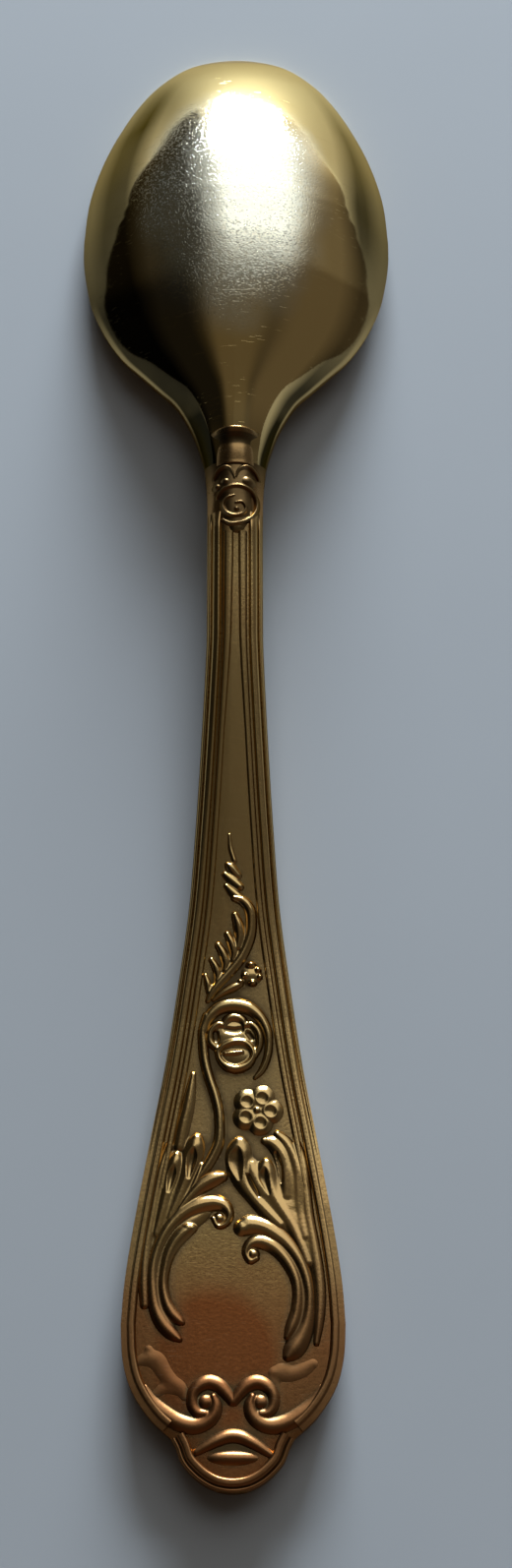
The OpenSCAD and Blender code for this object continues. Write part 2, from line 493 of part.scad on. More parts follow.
left_scroll_shares = [
    [[-0.8, 33.8, 0.6, 0.8], [-1.6, 33.85, 0.9, 1], [-2.6, 34.4, 0.8, 0.9], [-3.6, 35.2, 0.8, 0.8],
        [-4.5, 36.2, 0.7, 0.7], [-5.3, 37.5, 0.6, 0.6]],
    [[-1.6, 37.2, 0.5, 0.8], [-1.1, 37.8, 0.6, 0.9], [-0.4, 37.3, 0.7, 1], [-0.3, 36.4, 0.7, 1],
        [-1, 35.7, 0.8, 1], [-2, 35.5, 0.9, 1], [-3.1, 35.9, 0.9, 1], [-4.3, 36.7, 0.9, 0.9],
        [-5.3, 37.7, 0.9, 0.9], [-6.1, 39, 0.9, 0.8], [-6.6, 40.6, 0.9, 0.8], [-6.8, 42.4, 0.9, 0.8],
        [-6.6, 44.2, 0.9, 0.8], [-6.1, 45.7, 1, 0.8], [-5.4, 46.8, 0.9, 0.8], [-4.6, 47.4, 0.5, 0.6]],
    [[-3.3, 38.3, 0.5, 0.8], [-3.9, 38, 0.8, 1], [-4.7, 38.7, 0.9, 0.9], [-5.4, 39.9, 0.9, 0.8],
        [-5.8, 41.4, 0.9, 0.8], [-5.8, 43, 0.9, 0.8], [-5.4, 44.4, 0.9, 0.8], [-4.8, 45.3, 0.8, 0.7],
        [-4.2, 45.8, 0.4, 0.6]],
    [[-5.8, 41.4, 1.2, 0.5], [-6.2, 43, 1.6, 0.5], [-6, 44.6, 1.4, 0.5]],
    [[-6.6, 44.2, 0.7, 0.6], [-6.8, 46.4, 0.7, 0.6], [-6.3, 48, 0.6, 0.5], [-5.6, 48.9, 0.4, 0.5]]];
left_ball_shares = [[-1.1, 37.2, 0.6, 0.6, 1]];

right_scroll_shares = [
    [[1.2, 38.6, 0.6, 0.7], [0.5, 38.4, 0.7, 0.8], [0.15, 37.9, 0.7, 0.9], [0.5, 37.3, 0.8, 1],
        [1.3, 37, 0.9, 1], [2.3, 37.2, 0.9, 1], [3.3, 37.8, 0.9, 1], [4.3, 38.7, 0.9, 0.9],
        [5.2, 39.8, 0.9, 0.9], [6, 41.1, 0.9, 0.8], [6.6, 42.6, 0.9, 0.8], [6.9, 44.2, 0.9, 0.8],
        [6.8, 45.8, 1, 0.8], [6.3, 47.1, 1, 0.8], [5.4, 48.1, 0.9, 0.8], [4.5, 48.8, 0.5, 0.6]],
    [[1.1, 40.3, 0.6, 0.9], [1.3, 39.6, 0.7, 1], [2, 39.1, 0.8, 1], [2.9, 39.1, 0.8, 1],
        [3.9, 39.7, 0.8, 0.9], [4.8, 40.7, 0.8, 0.9], [5.4, 42, 0.8, 0.8], [5.7, 43.4, 0.8, 0.8],
        [5.6, 44.9, 0.8, 0.8], [5.2, 46.1, 0.8, 0.8], [4.6, 46.9, 0.5, 0.6]],
    [[5.4, 42, 1, 0.5], [6.1, 43.4, 1.5, 0.5], [6.2, 45, 1.4, 0.5], [5.8, 46.6, 1.2, 0.5]],
    [[4.1, 40.8, 0.4, 0.5], [4.6, 42, 0.5, 0.6], [4.8, 43.4, 0.5, 0.6], [4.7, 44.6, 0.4, 0.5]],
    [[4.8, 43.4, 0.5, 0.5], [5.2, 43.4, 0.8, 0.5], [5.7, 43.4, 0.8, 0.6]]];
right_ball_shares = [[1.75, 40.4, 0.62, 0.6, 1], [0.9, 37.9, 0.55, 0.5, 0.7]];

left_sprig_shares = [
    [[-7.9, 49.3, 0.4, 0.4], [-7.2, 49.1, 0.7, 0.6], [-6.5, 49.5, 0.9, 0.6], [-5.8, 50.4, 0.8, 0.6],
        [-5.1, 51.2, 0.8, 0.6], [-4.4, 51.9, 0.4, 0.5]],
    [[-6.9, 50.4, 0.5, 0.5], [-6.5, 50.8, 0.6, 0.5], [-6.1, 51.1, 0.7, 0.5], [-5.2, 51.3, 0.7, 0.5]]];
right_sprig_shares = [
    [[3.5, 50, 0.5, 0.5], [4.3, 50.2, 0.8, 0.6], [5.1, 50.6, 0.8, 0.6], [5.9, 51.2, 0.7, 0.5],
        [6.6, 51.8, 0.4, 0.4]],
    [[3.7, 50.9, 0.5, 0.5], [4.1, 51.2, 0.6, 0.5], [4.5, 51.3, 0.7, 0.6], [4.9, 51, 0.7, 0.6],
        [5.1, 50.6, 0.6, 0.5]]];

volute_shares = [
    [[-7, 52.1, 0.5, 0.6], [-6.3, 53, 0.8, 0.8], [-5.4, 53.8, 0.9, 0.9], [-4.4, 54.5, 1, 1],
        [-3.3, 54.8, 1, 1], [-2.2, 54.6, 1, 1], [-1.4, 54, 0.9, 1], [-1, 53.1, 0.9, 1],
        [-1, 52.2, 0.8, 1], [-1.4, 51.4, 0.8, 1], [-2.1, 51.1, 0.8, 1], [-2.9, 51.5, 0.8, 1],
        [-3.3, 52.4, 0.7, 0.9], [-3.1, 53.3, 0.6, 0.9], [-2.5, 53.7, 0.6, 0.9],
        [-2, 53.3, 0.6, 1], [-2.1, 52.8, 0.6, 1]],
    [[-0.15, 52.6, 0.5, 0.8], [-0.55, 51.9, 0.6, 0.9], [-1.2, 51.5, 0.6, 0.9]]];
volute_knob_shares = [[-2.15, 52.6, 0.6, 0.55, 1.1]];

lobe_arch_shares = [
    [[-2.7, 56.3, 0.5, 0.6], [-1.7, 55.9, 0.8, 0.9], [-0.7, 55.5, 0.8, 1], [0.2, 55.45, 0.8, 1],
        [1.1, 55.8, 0.8, 1], [2, 56.2, 0.8, 0.9], [2.8, 56.5, 0.5, 0.6]],
    [[-1.9, 57.25, 0.5, 0.6], [-0.9, 57.1, 0.9, 0.9], [0.1, 57.1, 1, 0.9], [1.1, 57.2, 0.9, 0.9],
        [2, 57.4, 0.5, 0.6]],
    [[0, 55.7, 0.8, 0.4], [0, 57, 0.8, 0.4]]];

module back_tendril() { color(gilt) relief(tendril_shares, []); }
module back_leaf_spray() { color(gilt) relief(spray_shares, []); }
module back_bud() { color(gilt) relief(bud_leaf_shares, bud_shares); }
module back_ring_scroll() { color(gilt) relief(ring_shares, []); }
module back_ring_flower() { color(gilt) relief(ring_cup_shares, ring_petal_shares); }
module back_flower() { color(gilt) relief([], petal_shares); }
module back_leaves_left() { color(gilt) relief(left_leaf_shares, []); }
module back_leaves_right() { color(gilt) relief(right_leaf_shares, []); }
module back_scroll_left() { color(gilt) relief(left_scroll_shares, left_ball_shares); }
module back_scroll_right() { color(gilt) relief(right_scroll_shares, right_ball_shares); }
module back_sprig_left() { color(warm_gilt) relief(left_sprig_shares, []); }
module back_sprig_right() { color(warm_gilt) relief(right_sprig_shares, []); }
module back_volute(left) {
    color(warm_gilt) mirrored(!left) relief(volute_shares, volute_knob_shares);
}
module back_lobe_shell() { color(warm_gilt) relief(lobe_arch_shares, []); }

// The front repeats the simpler scrolls
module front_scroll_left() { color(gilt) relief([right_scroll_shares[0]], [], front = true); }
module front_scroll_right() { color(gilt) relief([left_scroll_shares[1]], [], front = true); }
module front_flower() { color(gilt) relief([], petal_shares, front = true); }
module front_vine() { color(gilt) relief([ring_shares[0], ring_shares[1]], [], front = true); }
module front_volute(left) {
    color(warm_gilt) mirrored(left) relief([volute_shares[0]], [], front = true);
}

bowl();
heel_drop();
neck_crest();
stem();
handle_plate();
end_lobe();
back_band(true);  // back_band_left
back_band(false);  // back_band_right
back_bead(true);  // back_bead_left
back_bead(false);  // back_bead_right
back_lobe_band();
back_tendril();
back_leaf_spray();
back_bud();
back_ring_scroll();
back_ring_flower();
back_flower();
back_leaves_left();
back_leaves_right();
back_scroll_left();
back_scroll_right();
back_sprig_left();
back_sprig_right();
back_volute(true);  // back_volute_left
back_volute(false);  // back_volute_right
back_lobe_shell();
front_band(true);  // front_band_left
front_band(false);  // front_band_right
front_lobe_band();
front_vine();
front_flower();
front_scroll_left();
front_scroll_right();
front_volute(true);  // front_volute_left
front_volute(false);  // front_volute_right
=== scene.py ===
import copy
import math
import bpy
import numpy as np
from bpy.props import FloatProperty, FloatVectorProperty, PointerProperty
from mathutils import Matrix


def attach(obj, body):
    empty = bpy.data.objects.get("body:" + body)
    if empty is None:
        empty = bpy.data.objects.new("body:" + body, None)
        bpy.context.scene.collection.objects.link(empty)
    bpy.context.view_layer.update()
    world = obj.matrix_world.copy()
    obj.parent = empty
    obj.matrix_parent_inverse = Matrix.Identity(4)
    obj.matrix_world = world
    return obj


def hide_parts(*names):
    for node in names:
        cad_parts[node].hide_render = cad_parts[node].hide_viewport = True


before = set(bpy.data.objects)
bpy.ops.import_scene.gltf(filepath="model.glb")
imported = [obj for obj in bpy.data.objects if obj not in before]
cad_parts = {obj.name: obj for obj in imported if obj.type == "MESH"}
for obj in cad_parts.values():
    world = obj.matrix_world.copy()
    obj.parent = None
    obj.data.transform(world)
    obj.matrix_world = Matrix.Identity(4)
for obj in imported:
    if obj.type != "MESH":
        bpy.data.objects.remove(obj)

bl_info = {
    "name": "Scrollwork teaspoon",
    "version": (1, 0, 0),
    "blender": (4, 5, 0),
    "location": "View3D > Sidebar > Teaspoon",
    "description": "Dresses a gilt teaspoon with a scrollwork handle, lying face down",
    "category": "Object",
}


# Sizes and colours

def length(name, millimetres, description):
    return FloatProperty(name=name, description=description, default=millimetres / 1000,
                         min=0, unit="LENGTH", precision=5)


def colour(name, rgb, description):
    return FloatVectorProperty(name=name, description=description, default=rgb, size=3,
                               min=0, max=1, subtype="COLOR")


class SpoonSizes(bpy.types.PropertyGroup):
    """Sizes of the spoon, as in its solids; the bowl is 0.002 mm lower, to stay inside theirs"""
    overall_len: length("Overall length", 138, "Bowl tip to handle end")
    bowl_len: length("Bowl length", 46.5, "Bowl tip to neck")
    bowl_w: length("Bowl width", 29, "Greatest width of the bowl")
    bowl_widest: length("Widest place", 21.3, "Distance from the bowl tip to its widest place")
    bowl_h: length("Bowl height", 9.298, "Height of the bowl's back above its rim")
    bowl_highest: length("Highest place", 20, "Distance from the bowl tip to its highest place")
    bowl_wall: length("Bowl wall", 1, "Thickness of the bowl's wall")
    rim_land: length("Rim land", 0.9, "Width of the flat rim")
    rim_edge: length("Rim edge", 0.6, "Height of the rim's outer edge")
    rim_rise: length("Rim rise", 2.8, "Height of the rim over the table at the neck")
    heel_solid: length("Solid heel", 2.9, "Solid metal between the hollow and the neck")
    heel_len: length("Drop length", 3.3, "Length of the raised drop on the heel")
    heel_w: length("Drop width", 3.8, "Width of the raised drop")
    heel_h: length("Drop height", 0.65, "Height of the raised drop")
    crest_len: length("Crest length", 6.5, "Length of the scrolled crest over the neck")
    crest_w: length("Crest width", 5, "Width of the crest")
    crest_h: length("Crest height", 0.6, "Height of the crest")
    neck_run: length("Neck run", 3.5, "Neck to where the bowl's shoulders end")
    neck_t: length("Neck thickness", 3.6, "Thickness at the neck")
    stem_w: length("Stem width", 5.05, "Least width of the stem")
    handle_w: length("Handle width", 18.7, "Greatest width of the handle")
    flare_run: length("Flare run", 62, "Length over which the handle widens from the stem")
    handle_t: length("Handle thickness", 1.5, "Thickness of the handle at its end")
    handle_run: length("Handle run", 9.4, "Handle's widest place to the notches")
    lobe_w: length("Lobe width", 10.2, "Width of the end lobe at the notches")
    lobe_len: length("Lobe length", 4.4, "Length of the end lobe")
    touch_run: length("Touch run", 40, "Handle end to where the handle touches the table")
    end_rise: length("End rise", 1.35, "Rise of the handle end over the table")
    thread_w: length("Thread width", 0.35, "Width of the edge thread")
    band_w: length("Band width", 1.25, "Width of the band along each edge, with its thread")
    band_h: length("Band height", 0.38, "Height of the band")
    bead_gap: length("Bead gap", 0.18, "Gap between the band and the inner bead")
    bead_w: length("Bead width", 0.6, "Width of the inner bead")
    bead_h: length("Bead height", 0.26, "Height of the inner bead")
    front_band_w: length("Front band width", 1, "Width of the plain band on the front edges")
    front_band_h: length("Front band height", 0.25, "Height of the front bands and scrolls")
    pattern_len: length("Pattern length", 60, "Length of handle that the scrollwork covers")
    stroke_w: length("Stroke width", 0.8, "Width of one full stroke of scrollwork")
    relief_h: length("Relief height", 0.5, "Height of one full stroke of scrollwork")


class SpoonColours(bpy.types.PropertyGroup):
    """Colours of the spoon and of the table it lies on"""
    gold: colour("Gold", (0.535, 0.365, 0.153), "Gilding on the stem and the upper handle")
    # Copper comes in toward the handle's end partly as painted warm reflection.
    copper: colour("Copper", (0.41, 0.135, 0.042), "Warmer metal toward the handle's end")
    silver: colour("Silver", (0.95, 0.91, 0.74), "Metal under the worn gilding of the bowl")
    pale_gold: colour("Pale gold", (0.84, 0.60, 0.25), "Gilding left on the bowl")
    # The tarnish colour also takes the painted shade in the recesses and at the neck.
    tarnish_and_shade: colour("Tarnish", (0.10, 0.065, 0.03), "Dark film in the recesses")
    table: colour("Table", (0.31, 0.318, 0.33), "Table top")


# The spoon's curves

# Depth of each foot in what carries it, the blunt end of the lobe and the rounded lower edges.
SINK, NOSE, EDGE_ROUND = 0.15, 0.05, 0.3
TINY = 1e-9

TIP_SQUARE = [[0, 0], [0.04, 0.094], [0.1, 0.197], [0.2, 0.348], [0.37, 0.561], [0.58, 0.786],
              [0.79, 0.941], [1, 1]]
SHOULDER = [[0, 1], [0.08, 0.997], [0.16, 0.972], [0.26, 0.917], [0.37, 0.8], [0.455, 0.665],
            [0.52, 0.51], [0.575, 0.378], [0.62, 0.268], [0.675, 0.185], [0.74, 0.113],
            [0.81, 0.06], [0.86, 0.03], [0.93, 0.01], [1, 0]]
FLARE = [[0, 0], [0.02, 0.002], [0.066, 0.018], [0.186, 0.072], [0.294, 0.13], [0.413, 0.21],
         [0.521, 0.335], [0.641, 0.495], [0.749, 0.675], [0.857, 0.85], [0.94, 0.96], [1, 1]]
END = [[0, 1], [0.28, 0.963], [0.51, 0.843], [0.69, 0.64], [0.85, 0.37], [0.95, 0.13], [1, 0]]
LOBE_SQUARE = [[0, 1], [0.18, 0.84], [0.45, 0.68], [0.73, 0.37], [0.93, 0.11], [1, 0]]
RISING = [[0, 0], [0.05, 0.115], [0.15, 0.3], [0.25, 0.46], [0.375, 0.63], [0.5, 0.77],
          [0.65, 0.885], [0.8, 0.965], [1, 1]]
FALLING = [[0, 1], [0.08, 0.99], [0.19, 0.947], [0.38, 0.77], [0.57, 0.504], [0.68, 0.345],
           [0.79, 0.195], [0.89, 0.09], [1, 0]]
HOLLOW = [[0, 0], [0.03, 0.16], [0.08, 0.36], [0.16, 0.59], [0.25, 0.81], [0.34, 0.94], [0.42, 1],
          [0.53, 0.97], [0.64, 0.82], [0.74, 0.62], [0.82, 0.43], [0.89, 0.24], [0.95, 0.08], [1, 0]]
THICKNESS = [[0, 1], [0.04, 0.8], [0.09, 0.65], [0.2, 0.55], [0.31, 0.45], [0.42, 0.33],
             [0.53, 0.21], [0.64, 0.12], [0.75, 0.07], [0.86, 0.03], [1, 0]]
SIDE = [[0, 0.5], [0.08, 0.6], [0.3, 0.72], [0.53, 0.82], [1, 0.86]]
STEM_RISE = [[0, 1], [0.07, 1.08], [0.16, 1.03], [0.36, 0.77], [0.55, 0.45], [0.75, 0.14],
             [0.87, 0.03], [1, 0]]
END_RISE = [[0, 0], [0.17, 0.05], [0.42, 0.25], [0.67, 0.55], [1, 1]]
HEEL_START, BOWL_POWER, STEM_POWER = 0.8, 2.05, 2.6


def curve(t, table):
    """Smooth curve through a table of [place, value]."""
    x, y = np.array(table, float).T
    near = np.arange(len(x))
    a, b = np.maximum(near - 1, 0), np.minimum(near + 1, len(x) - 1)
    slope = (y[b] - y[a]) / (x[b] - x[a])
    t = np.clip(t, x[0], x[-1])
    i = np.clip(np.searchsorted(x, t, side="left") - 1, 0, len(x) - 2)
    d = x[i + 1] - x[i]
    s = (t - x[i]) / d
    return (y[i] * (1 + 2 * s) * (1 - s) ** 2 + slope[i] * d * s * (1 - s) ** 2
            + y[i + 1] * s * s * (3 - 2 * s) - slope[i + 1] * d * s * s * (1 - s))


class Spoon:
    """The spoon's outline and heights in millimetres; u runs from the bowl tip, x to the right."""

    def __init__(self, sizes):
        for key in SpoonSizes.__annotations__:
            setattr(self, key, getattr(sizes, key) * 1000)
        self.neck_at = self.bowl_len
        self.shoulder_at = self.bowl_len + self.neck_run
        self.notch_at = self.overall_len - self.lobe_len
        self.widest_at = self.notch_at - self.handle_run
        self.flare_at = self.widest_at - self.flare_run
        self.touch_at = self.overall_len - self.touch_run
        self.plate_at = self.overall_len - self.pattern_len

    def half_w(self, u):
        u = np.asarray(u, float)
        half, stem = self.bowl_w / 2, self.stem_w / 2
        bowl = half * np.sqrt(np.maximum(0, curve(u / self.bowl_widest, TIP_SQUARE)))
        shoulder = stem + (half - stem) * curve(
            (u - self.bowl_widest) / (self.shoulder_at - self.bowl_widest), SHOULDER)
        flare = stem + (self.handle_w / 2 - stem) * curve((u - self.flare_at) / self.flare_run, FLARE)
        end = self.lobe_w / 2 + (self.handle_w - self.lobe_w) / 2 * curve(
            (u - self.widest_at) / self.handle_run, END)
        lobe = self.lobe_w / 2 * np.sqrt(np.maximum(0, curve(
            (np.minimum(u, self.overall_len - NOSE / 10) - self.notch_at) / self.lobe_len,
            LOBE_SQUARE)))
        return np.select([u < self.bowl_widest, u < self.shoulder_at, u < self.widest_at,
                          u < self.notch_at], [bowl, shoulder, flare, end], lobe)

    def rim(self, u):
        return self.rim_rise * u / self.bowl_len

    def base(self, u):
        stem = self.front_band_h + (self.rim_rise - self.front_band_h) * curve(
            (u - self.neck_at) / (self.touch_at - self.neck_at), STEM_RISE)
        end = self.front_band_h + self.end_rise * curve((u - self.touch_at) / self.touch_run, END_RISE)
        return np.select([u < self.neck_at, u < self.touch_at], [self.rim(u), stem], end)

    def crown(self, u):
        rising = self.rim_edge + (self.bowl_h - self.rim_edge) * curve(u / self.bowl_highest, RISING)
        falling = self.neck_t + (self.bowl_h - self.neck_t) * curve(
            (u - self.bowl_highest) / (self.neck_at - self.bowl_highest), FALLING)
        stem = self.handle_t + (self.neck_t - self.handle_t) * curve(
            (u - self.neck_at) / (self.overall_len - self.neck_at), THICKNESS)
        return np.select([u < self.bowl_highest, u < self.neck_at], [rising, falling], stem)

    def neck_share(self, u):
        return np.clip((u - self.bowl_widest) / (self.neck_at - self.bowl_widest), 0, 1) ** 4

    def side(self, u):
        bowl = self.rim_edge + (self.neck_t * SIDE[0][1] - self.rim_edge) * self.neck_share(u)
        stem = self.crown(u) * curve((u - self.neck_at) / (self.overall_len - self.neck_at), SIDE)
        return np.where(u < self.neck_at, bowl, stem)

    def back_z(self, x, u):
        power = BOWL_POWER + (STEM_POWER - BOWL_POWER) * self.neck_share(u)
        v = np.minimum(1, np.abs(x) / np.maximum(self.half_w(u), TINY))
        return self.base(u) + self.side(u) + (self.crown(u) - self.side(u)) * (1 - v ** power)

    def front_z(self, x, u):
        return self.base(u) + 0 * x

    def hollow_along(self, t):
        late = np.maximum(0, t - HEEL_START)
        return (self.rim_land + t * (self.bowl_len - self.rim_land)
                - late * self.heel_solid / (1 - HEEL_START))

    def hollow_z(self, v, t):
        return (self.rim(self.hollow_along(t)) + (self.bowl_h - self.bowl_wall) * curve(t, HOLLOW)
                * (1 - np.abs(v) ** BOWL_POWER))

    def spot(self, x, u, z):
        """Points of the frame, in metres, for places on the spoon."""
        return np.stack(np.broadcast_arrays(x, self.overall_len / 2 - u, z), -1) / 1000


# Mesh making

def ramp(value, start, run):
    """0 up to start, 1 from start + run, straight between."""
    return np.clip((value - start) / run, 0, 1)


def make_piece(name, points, faces, material, painted_shade, sharp=None):
    """Mesh piece that stands for the CAD node of its name and rides on the spoon."""
    mesh = bpy.data.meshes.new(name)
    mesh.from_pydata(points.reshape(-1, 3).tolist(), [], faces)
    mesh.validate()
    mesh.polygons.foreach_set("use_smooth", np.ones(len(mesh.polygons), bool))
    if sharp:
        mesh.set_sharp_from_angle(angle=math.radians(sharp))
    # Painted shade of each point, darkening hollows, groove bottoms, the neck and the bowl's edges; the
    # materials read it.
    layer = mesh.attributes.new("painted_shade", "FLOAT", "POINT")
    layer.data.foreach_set("value", np.clip(painted_shade.ravel(), 0, 1).astype(np.float32))
    mesh.materials.append(material)
    mesh.update()
    piece = bpy.data.objects.new(name, mesh)
    bpy.context.scene.collection.objects.link(piece)
    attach(piece, "root")
    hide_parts(name)


def gilded_piece(name, points, faces, colours, painted_shade, raised=True, sharp=None):
    """A piece with the gilt finish of its place on the spoon."""
    slot = "warm_gilt" if name.startswith(WARM) else "gilt"
    make_piece(name, points, faces, gilt_look(slot, colours, raised), painted_shade, sharp)


def loft(rings):
    """Faces of a closed skin over rings of equal count, with a flat cap at each end."""
    m, n = rings.shape[:2]
    k, j = np.meshgrid(np.arange(m - 1), np.arange(n), indexing="ij")
    after = (j + 1) % n
    sides = np.stack([k * n + j, (k + 1) * n + j, (k + 1) * n + after, k * n + after], -1)
    return sides.reshape(-1, 4).tolist() + [list(range(n)), list(range(m * n - 1, (m - 1) * n - 1, -1))]


def patch(mask):
    """Faces of a closed slab over the marked cells of a grid, and the grid corners it uses."""
    used = np.zeros((mask.shape[0] + 1, mask.shape[1] + 1), bool)
    for i in (0, 1):
        for j in (0, 1):
            used[i:used.shape[0] - 1 + i, j:used.shape[1] - 1 + j] |= mask
    index = np.cumsum(used.ravel()).reshape(used.shape) - 1
    n = int(used.sum())
    framed = np.pad(mask, 1)
    i, j = np.nonzero(mask)
    a, b, c, d = index[i, j], index[i, j + 1], index[i + 1, j + 1], index[i + 1, j]
    quads = [np.stack([a, b, c, d], -1), np.stack([d, c, b, a], -1) + n]
    for di, dj, p, q in ((-1, 0, a, b), (0, 1, b, c), (1, 0, c, d), (0, -1, d, a)):
        edge = ~framed[i + 1 + di, j + 1 + dj]
        p, q = p[edge], q[edge]
        quads.append(np.stack([q, p, p + n, q + n], -1))
    return np.concatenate(quads).tolist(), used


def blur(values, radius):
    """Mean over a square of the grid, twice, for a soft fall-off."""
    size = 2 * radius + 1
    for axis in (0, 1, 0, 1):
        pad = [(radius + 1, radius) if k == axis else (0, 0) for k in (0, 1)]
        total = np.cumsum(np.pad(values, pad, mode="edge"), axis)
        high = np.take(total, range(size, total.shape[axis]), axis)
        low = np.take(total, range(0, total.shape[axis] - size), axis)
        values = (high - low) / size
    return values


# Relief

# Heights over the surface: an empty grid, a piece's lowest edge, and where its outline runs.
EMPTY, SKIRT, OUTLINE = -0.4, -0.1, -0.03
STROKE_STEPS, STROKE_LEAST, STROKE_REACH = 6, 0.03, 1.4
BOSS_POWER, BOSS_REACH, BOSS_SOFT = 2.2, 1.5, 0.04
JOIN_SOFT, LEAF_SOFT, MARGIN, CROP = 0.05, 0.12, 0.1, 3


class Grid:
    """Squares that the strokes are laid out on."""

    def __init__(self, column, row, start):
        self.column, self.row, self.start = column, row, start


def trace(table, grid, width, height):
    """A stroke's centre line as rows of [x, u, half width, height], curved through its table."""
    rows = np.array(table, float)
    rows = rows * [grid.column, grid.row, width / 2, height] + [0, grid.start, 0, 0]
    ends = np.vstack([2 * rows[0] - rows[1], rows, 2 * rows[-1] - rows[-2]])
    t = np.linspace(0, 1, STROKE_STEPS, endpoint=False)[:, None]
    line = []
    for a, b, c, d in zip(ends, ends[1:], ends[2:], ends[3:]):
        line.append(0.5 * (2 * b + (c - a) * t + (2 * a - 5 * b + 4 * c - d) * t ** 2
                           + (3 * b - a - 3 * c + d) * t ** 3))
    line = np.vstack(line + [rows[-1:]])
    line[:, 2] = np.maximum(line[:, 2], STROKE_LEAST)
    return line


class Relief:
    """Heights of relief over the surface it lies on, on a fine grid of x and u."""

    def __init__(self, step, x, u):
        self.step = step
        self.x = np.arange(round(x[0] / step), round(x[1] / step) + 1) * step
        self.u = np.arange(round(u[0] / step), round(u[1] / step) + 1) * step
        self.z = np.full((len(self.x), len(self.u)), EMPTY)

    def window(self, line, reach):
        """Slices of the grid that a line and its reach fill."""
        lo, hi = line[:, :2].min(0) - reach, line[:, :2].max(0) + reach
        i = slice(*np.searchsorted(self.x, [lo[0], hi[0]]))
        j = slice(*np.searchsorted(self.u, [lo[1], hi[1]]))
        return i, j

    def stroke_field(self, line):
        """Height of one rounded stroke everywhere in its window."""
        i, j = self.window(line, line[:, 2].max() * STROKE_REACH + MARGIN)
        field = np.full((i.stop - i.start, j.stop - j.start), EMPTY)
        for a, b in zip(line, line[1:]):
            p, q = self.window(np.array([a, b]), max(a[2], b[2]) * STROKE_REACH + MARGIN)
            x, u = self.x[p][:, None], self.u[q][None]
            d = b[:2] - a[:2]
            t = np.clip(((x - a[0]) * d[0] + (u - a[1]) * d[1]) / max(d @ d, TINY), 0, 1)
            away = np.hypot(x - a[0] - t * d[0], u - a[1] - t * d[1])
            half, high = a[2] + t * (b[2] - a[2]), a[3] + t * (b[3] - a[3])
            part = field[p.start - i.start:p.stop - i.start, q.start - j.start:q.stop - j.start]
            np.maximum(part, high * (1 - (away / half) ** 2), out=part)
        return i, j, field

    def join(self, i, j, field, soft):
        """Keeps the higher of the heights, rounded where they meet."""
        here = self.z[i, j]
        near = np.maximum(soft - np.abs(here - field), 0) / soft
        self.z[i, j] = np.maximum(here, field) + near ** 2 * soft / 4

    def lay(self, line, soft):
        """Adds a rounded stroke."""
        self.join(*self.stroke_field(line), soft)

    def carve(self, line):
        """Cuts a groove of the line's half width and depth."""
        i, j, field = self.stroke_field(line)
        self.z[i, j] -= np.where(self.z[i, j] > SKIRT, np.maximum(0, field), 0)

    def boss(self, place, grid, height):
        """Adds a rounded knob, its place given as [x, u, x radius, u radius, height]."""
        x0, u0 = place[0] * grid.column, grid.start + place[1] * grid.row
        rx, ru = place[2] * grid.column, place[3] * grid.row
        i, j = self.window(np.array([[x0, u0]]), max(rx, ru) * BOSS_REACH + MARGIN)
        x, u = self.x[i][:, None], self.u[j][None]
        away = np.hypot((x - x0) / rx, (u - u0) / ru)
        self.join(i, j, np.maximum(place[4] * height * (1 - away ** BOSS_POWER), EMPTY), BOSS_SOFT)

    def ornament(self, grid, width, height, strokes, bosses=(), cuts=(), soft=JOIN_SOFT):
        """Lays the strokes and bosses of a piece, and then makes its cuts."""
        for table in strokes:
            self.lay(trace(table, grid, width, height), soft)
        for place in bosses:
            self.boss(place, grid, height)
        for table in cuts:
            self.carve(trace(table, grid, width, height))

    def nearest(self, values, x, u):
        """The values of the grid that lie nearest to places on the spoon."""
        i = np.clip(np.rint((x - self.x[0]) / self.step).astype(int), 0, len(self.x) - 1)
        j = np.clip(np.rint((u - self.u[0]) / self.step).astype(int), 0, len(self.u) - 1)
        return values[i, j]

    def shade(self, radius, gain):
        """How far each place lies below its surroundings."""
        raised = np.maximum(self.z, 0)
        return np.clip((blur(raised, radius) - raised) * gain, 0, 1)

    def cropped(self, shade):
        """The part of the grid that the relief fills, with a margin, and its shade."""
        filled = np.nonzero(self.z > OUTLINE)
        i, j = [slice(max(k.min() - CROP, 0), k.max() + CROP + 1) for k in filled]
        cut = copy.copy(self)
        cut.x, cut.u, cut.z = self.x[i], self.u[j], self.z[i, j]
        return cut, shade[i, j]


def relief_piece(spoon, name, relief, shade, colours, front=False):
    """Closed slab of relief, its foot sunk in the surface that carries it."""
    high = relief.z > OUTLINE
    mask = high[:-1, :-1] | high[1:, :-1] | high[:-1, 1:] | high[1:, 1:]
    spread = np.pad(mask, 1)
    mask = mask | spread[:-2, 1:-1] | spread[2:, 1:-1] | spread[1:-1, :-2] | spread[1:-1, 2:]
    faces, used = patch(mask)
    x, u = relief.x[:, None], relief.u[None]
    top = np.maximum(relief.z, SKIRT)
    if front:
        ground = spoon.front_z(x, u)
        outer, inner = spoon.spot(-x, u, ground - top), spoon.spot(-x, u, ground + SINK)
    else:
        ground = spoon.back_z(x, u)
        outer, inner = spoon.spot(x, u, ground + top), spoon.spot(x, u, ground - SINK)
    points = np.concatenate([outer[used], inner[used]])
    # Painted shade on the relief's top; the hidden underside is fully dark.
    dark = np.concatenate([shade[used], np.ones(int(used.sum()))])
    gilded_piece(name, points, faces, colours, dark)


# Scrollwork tables

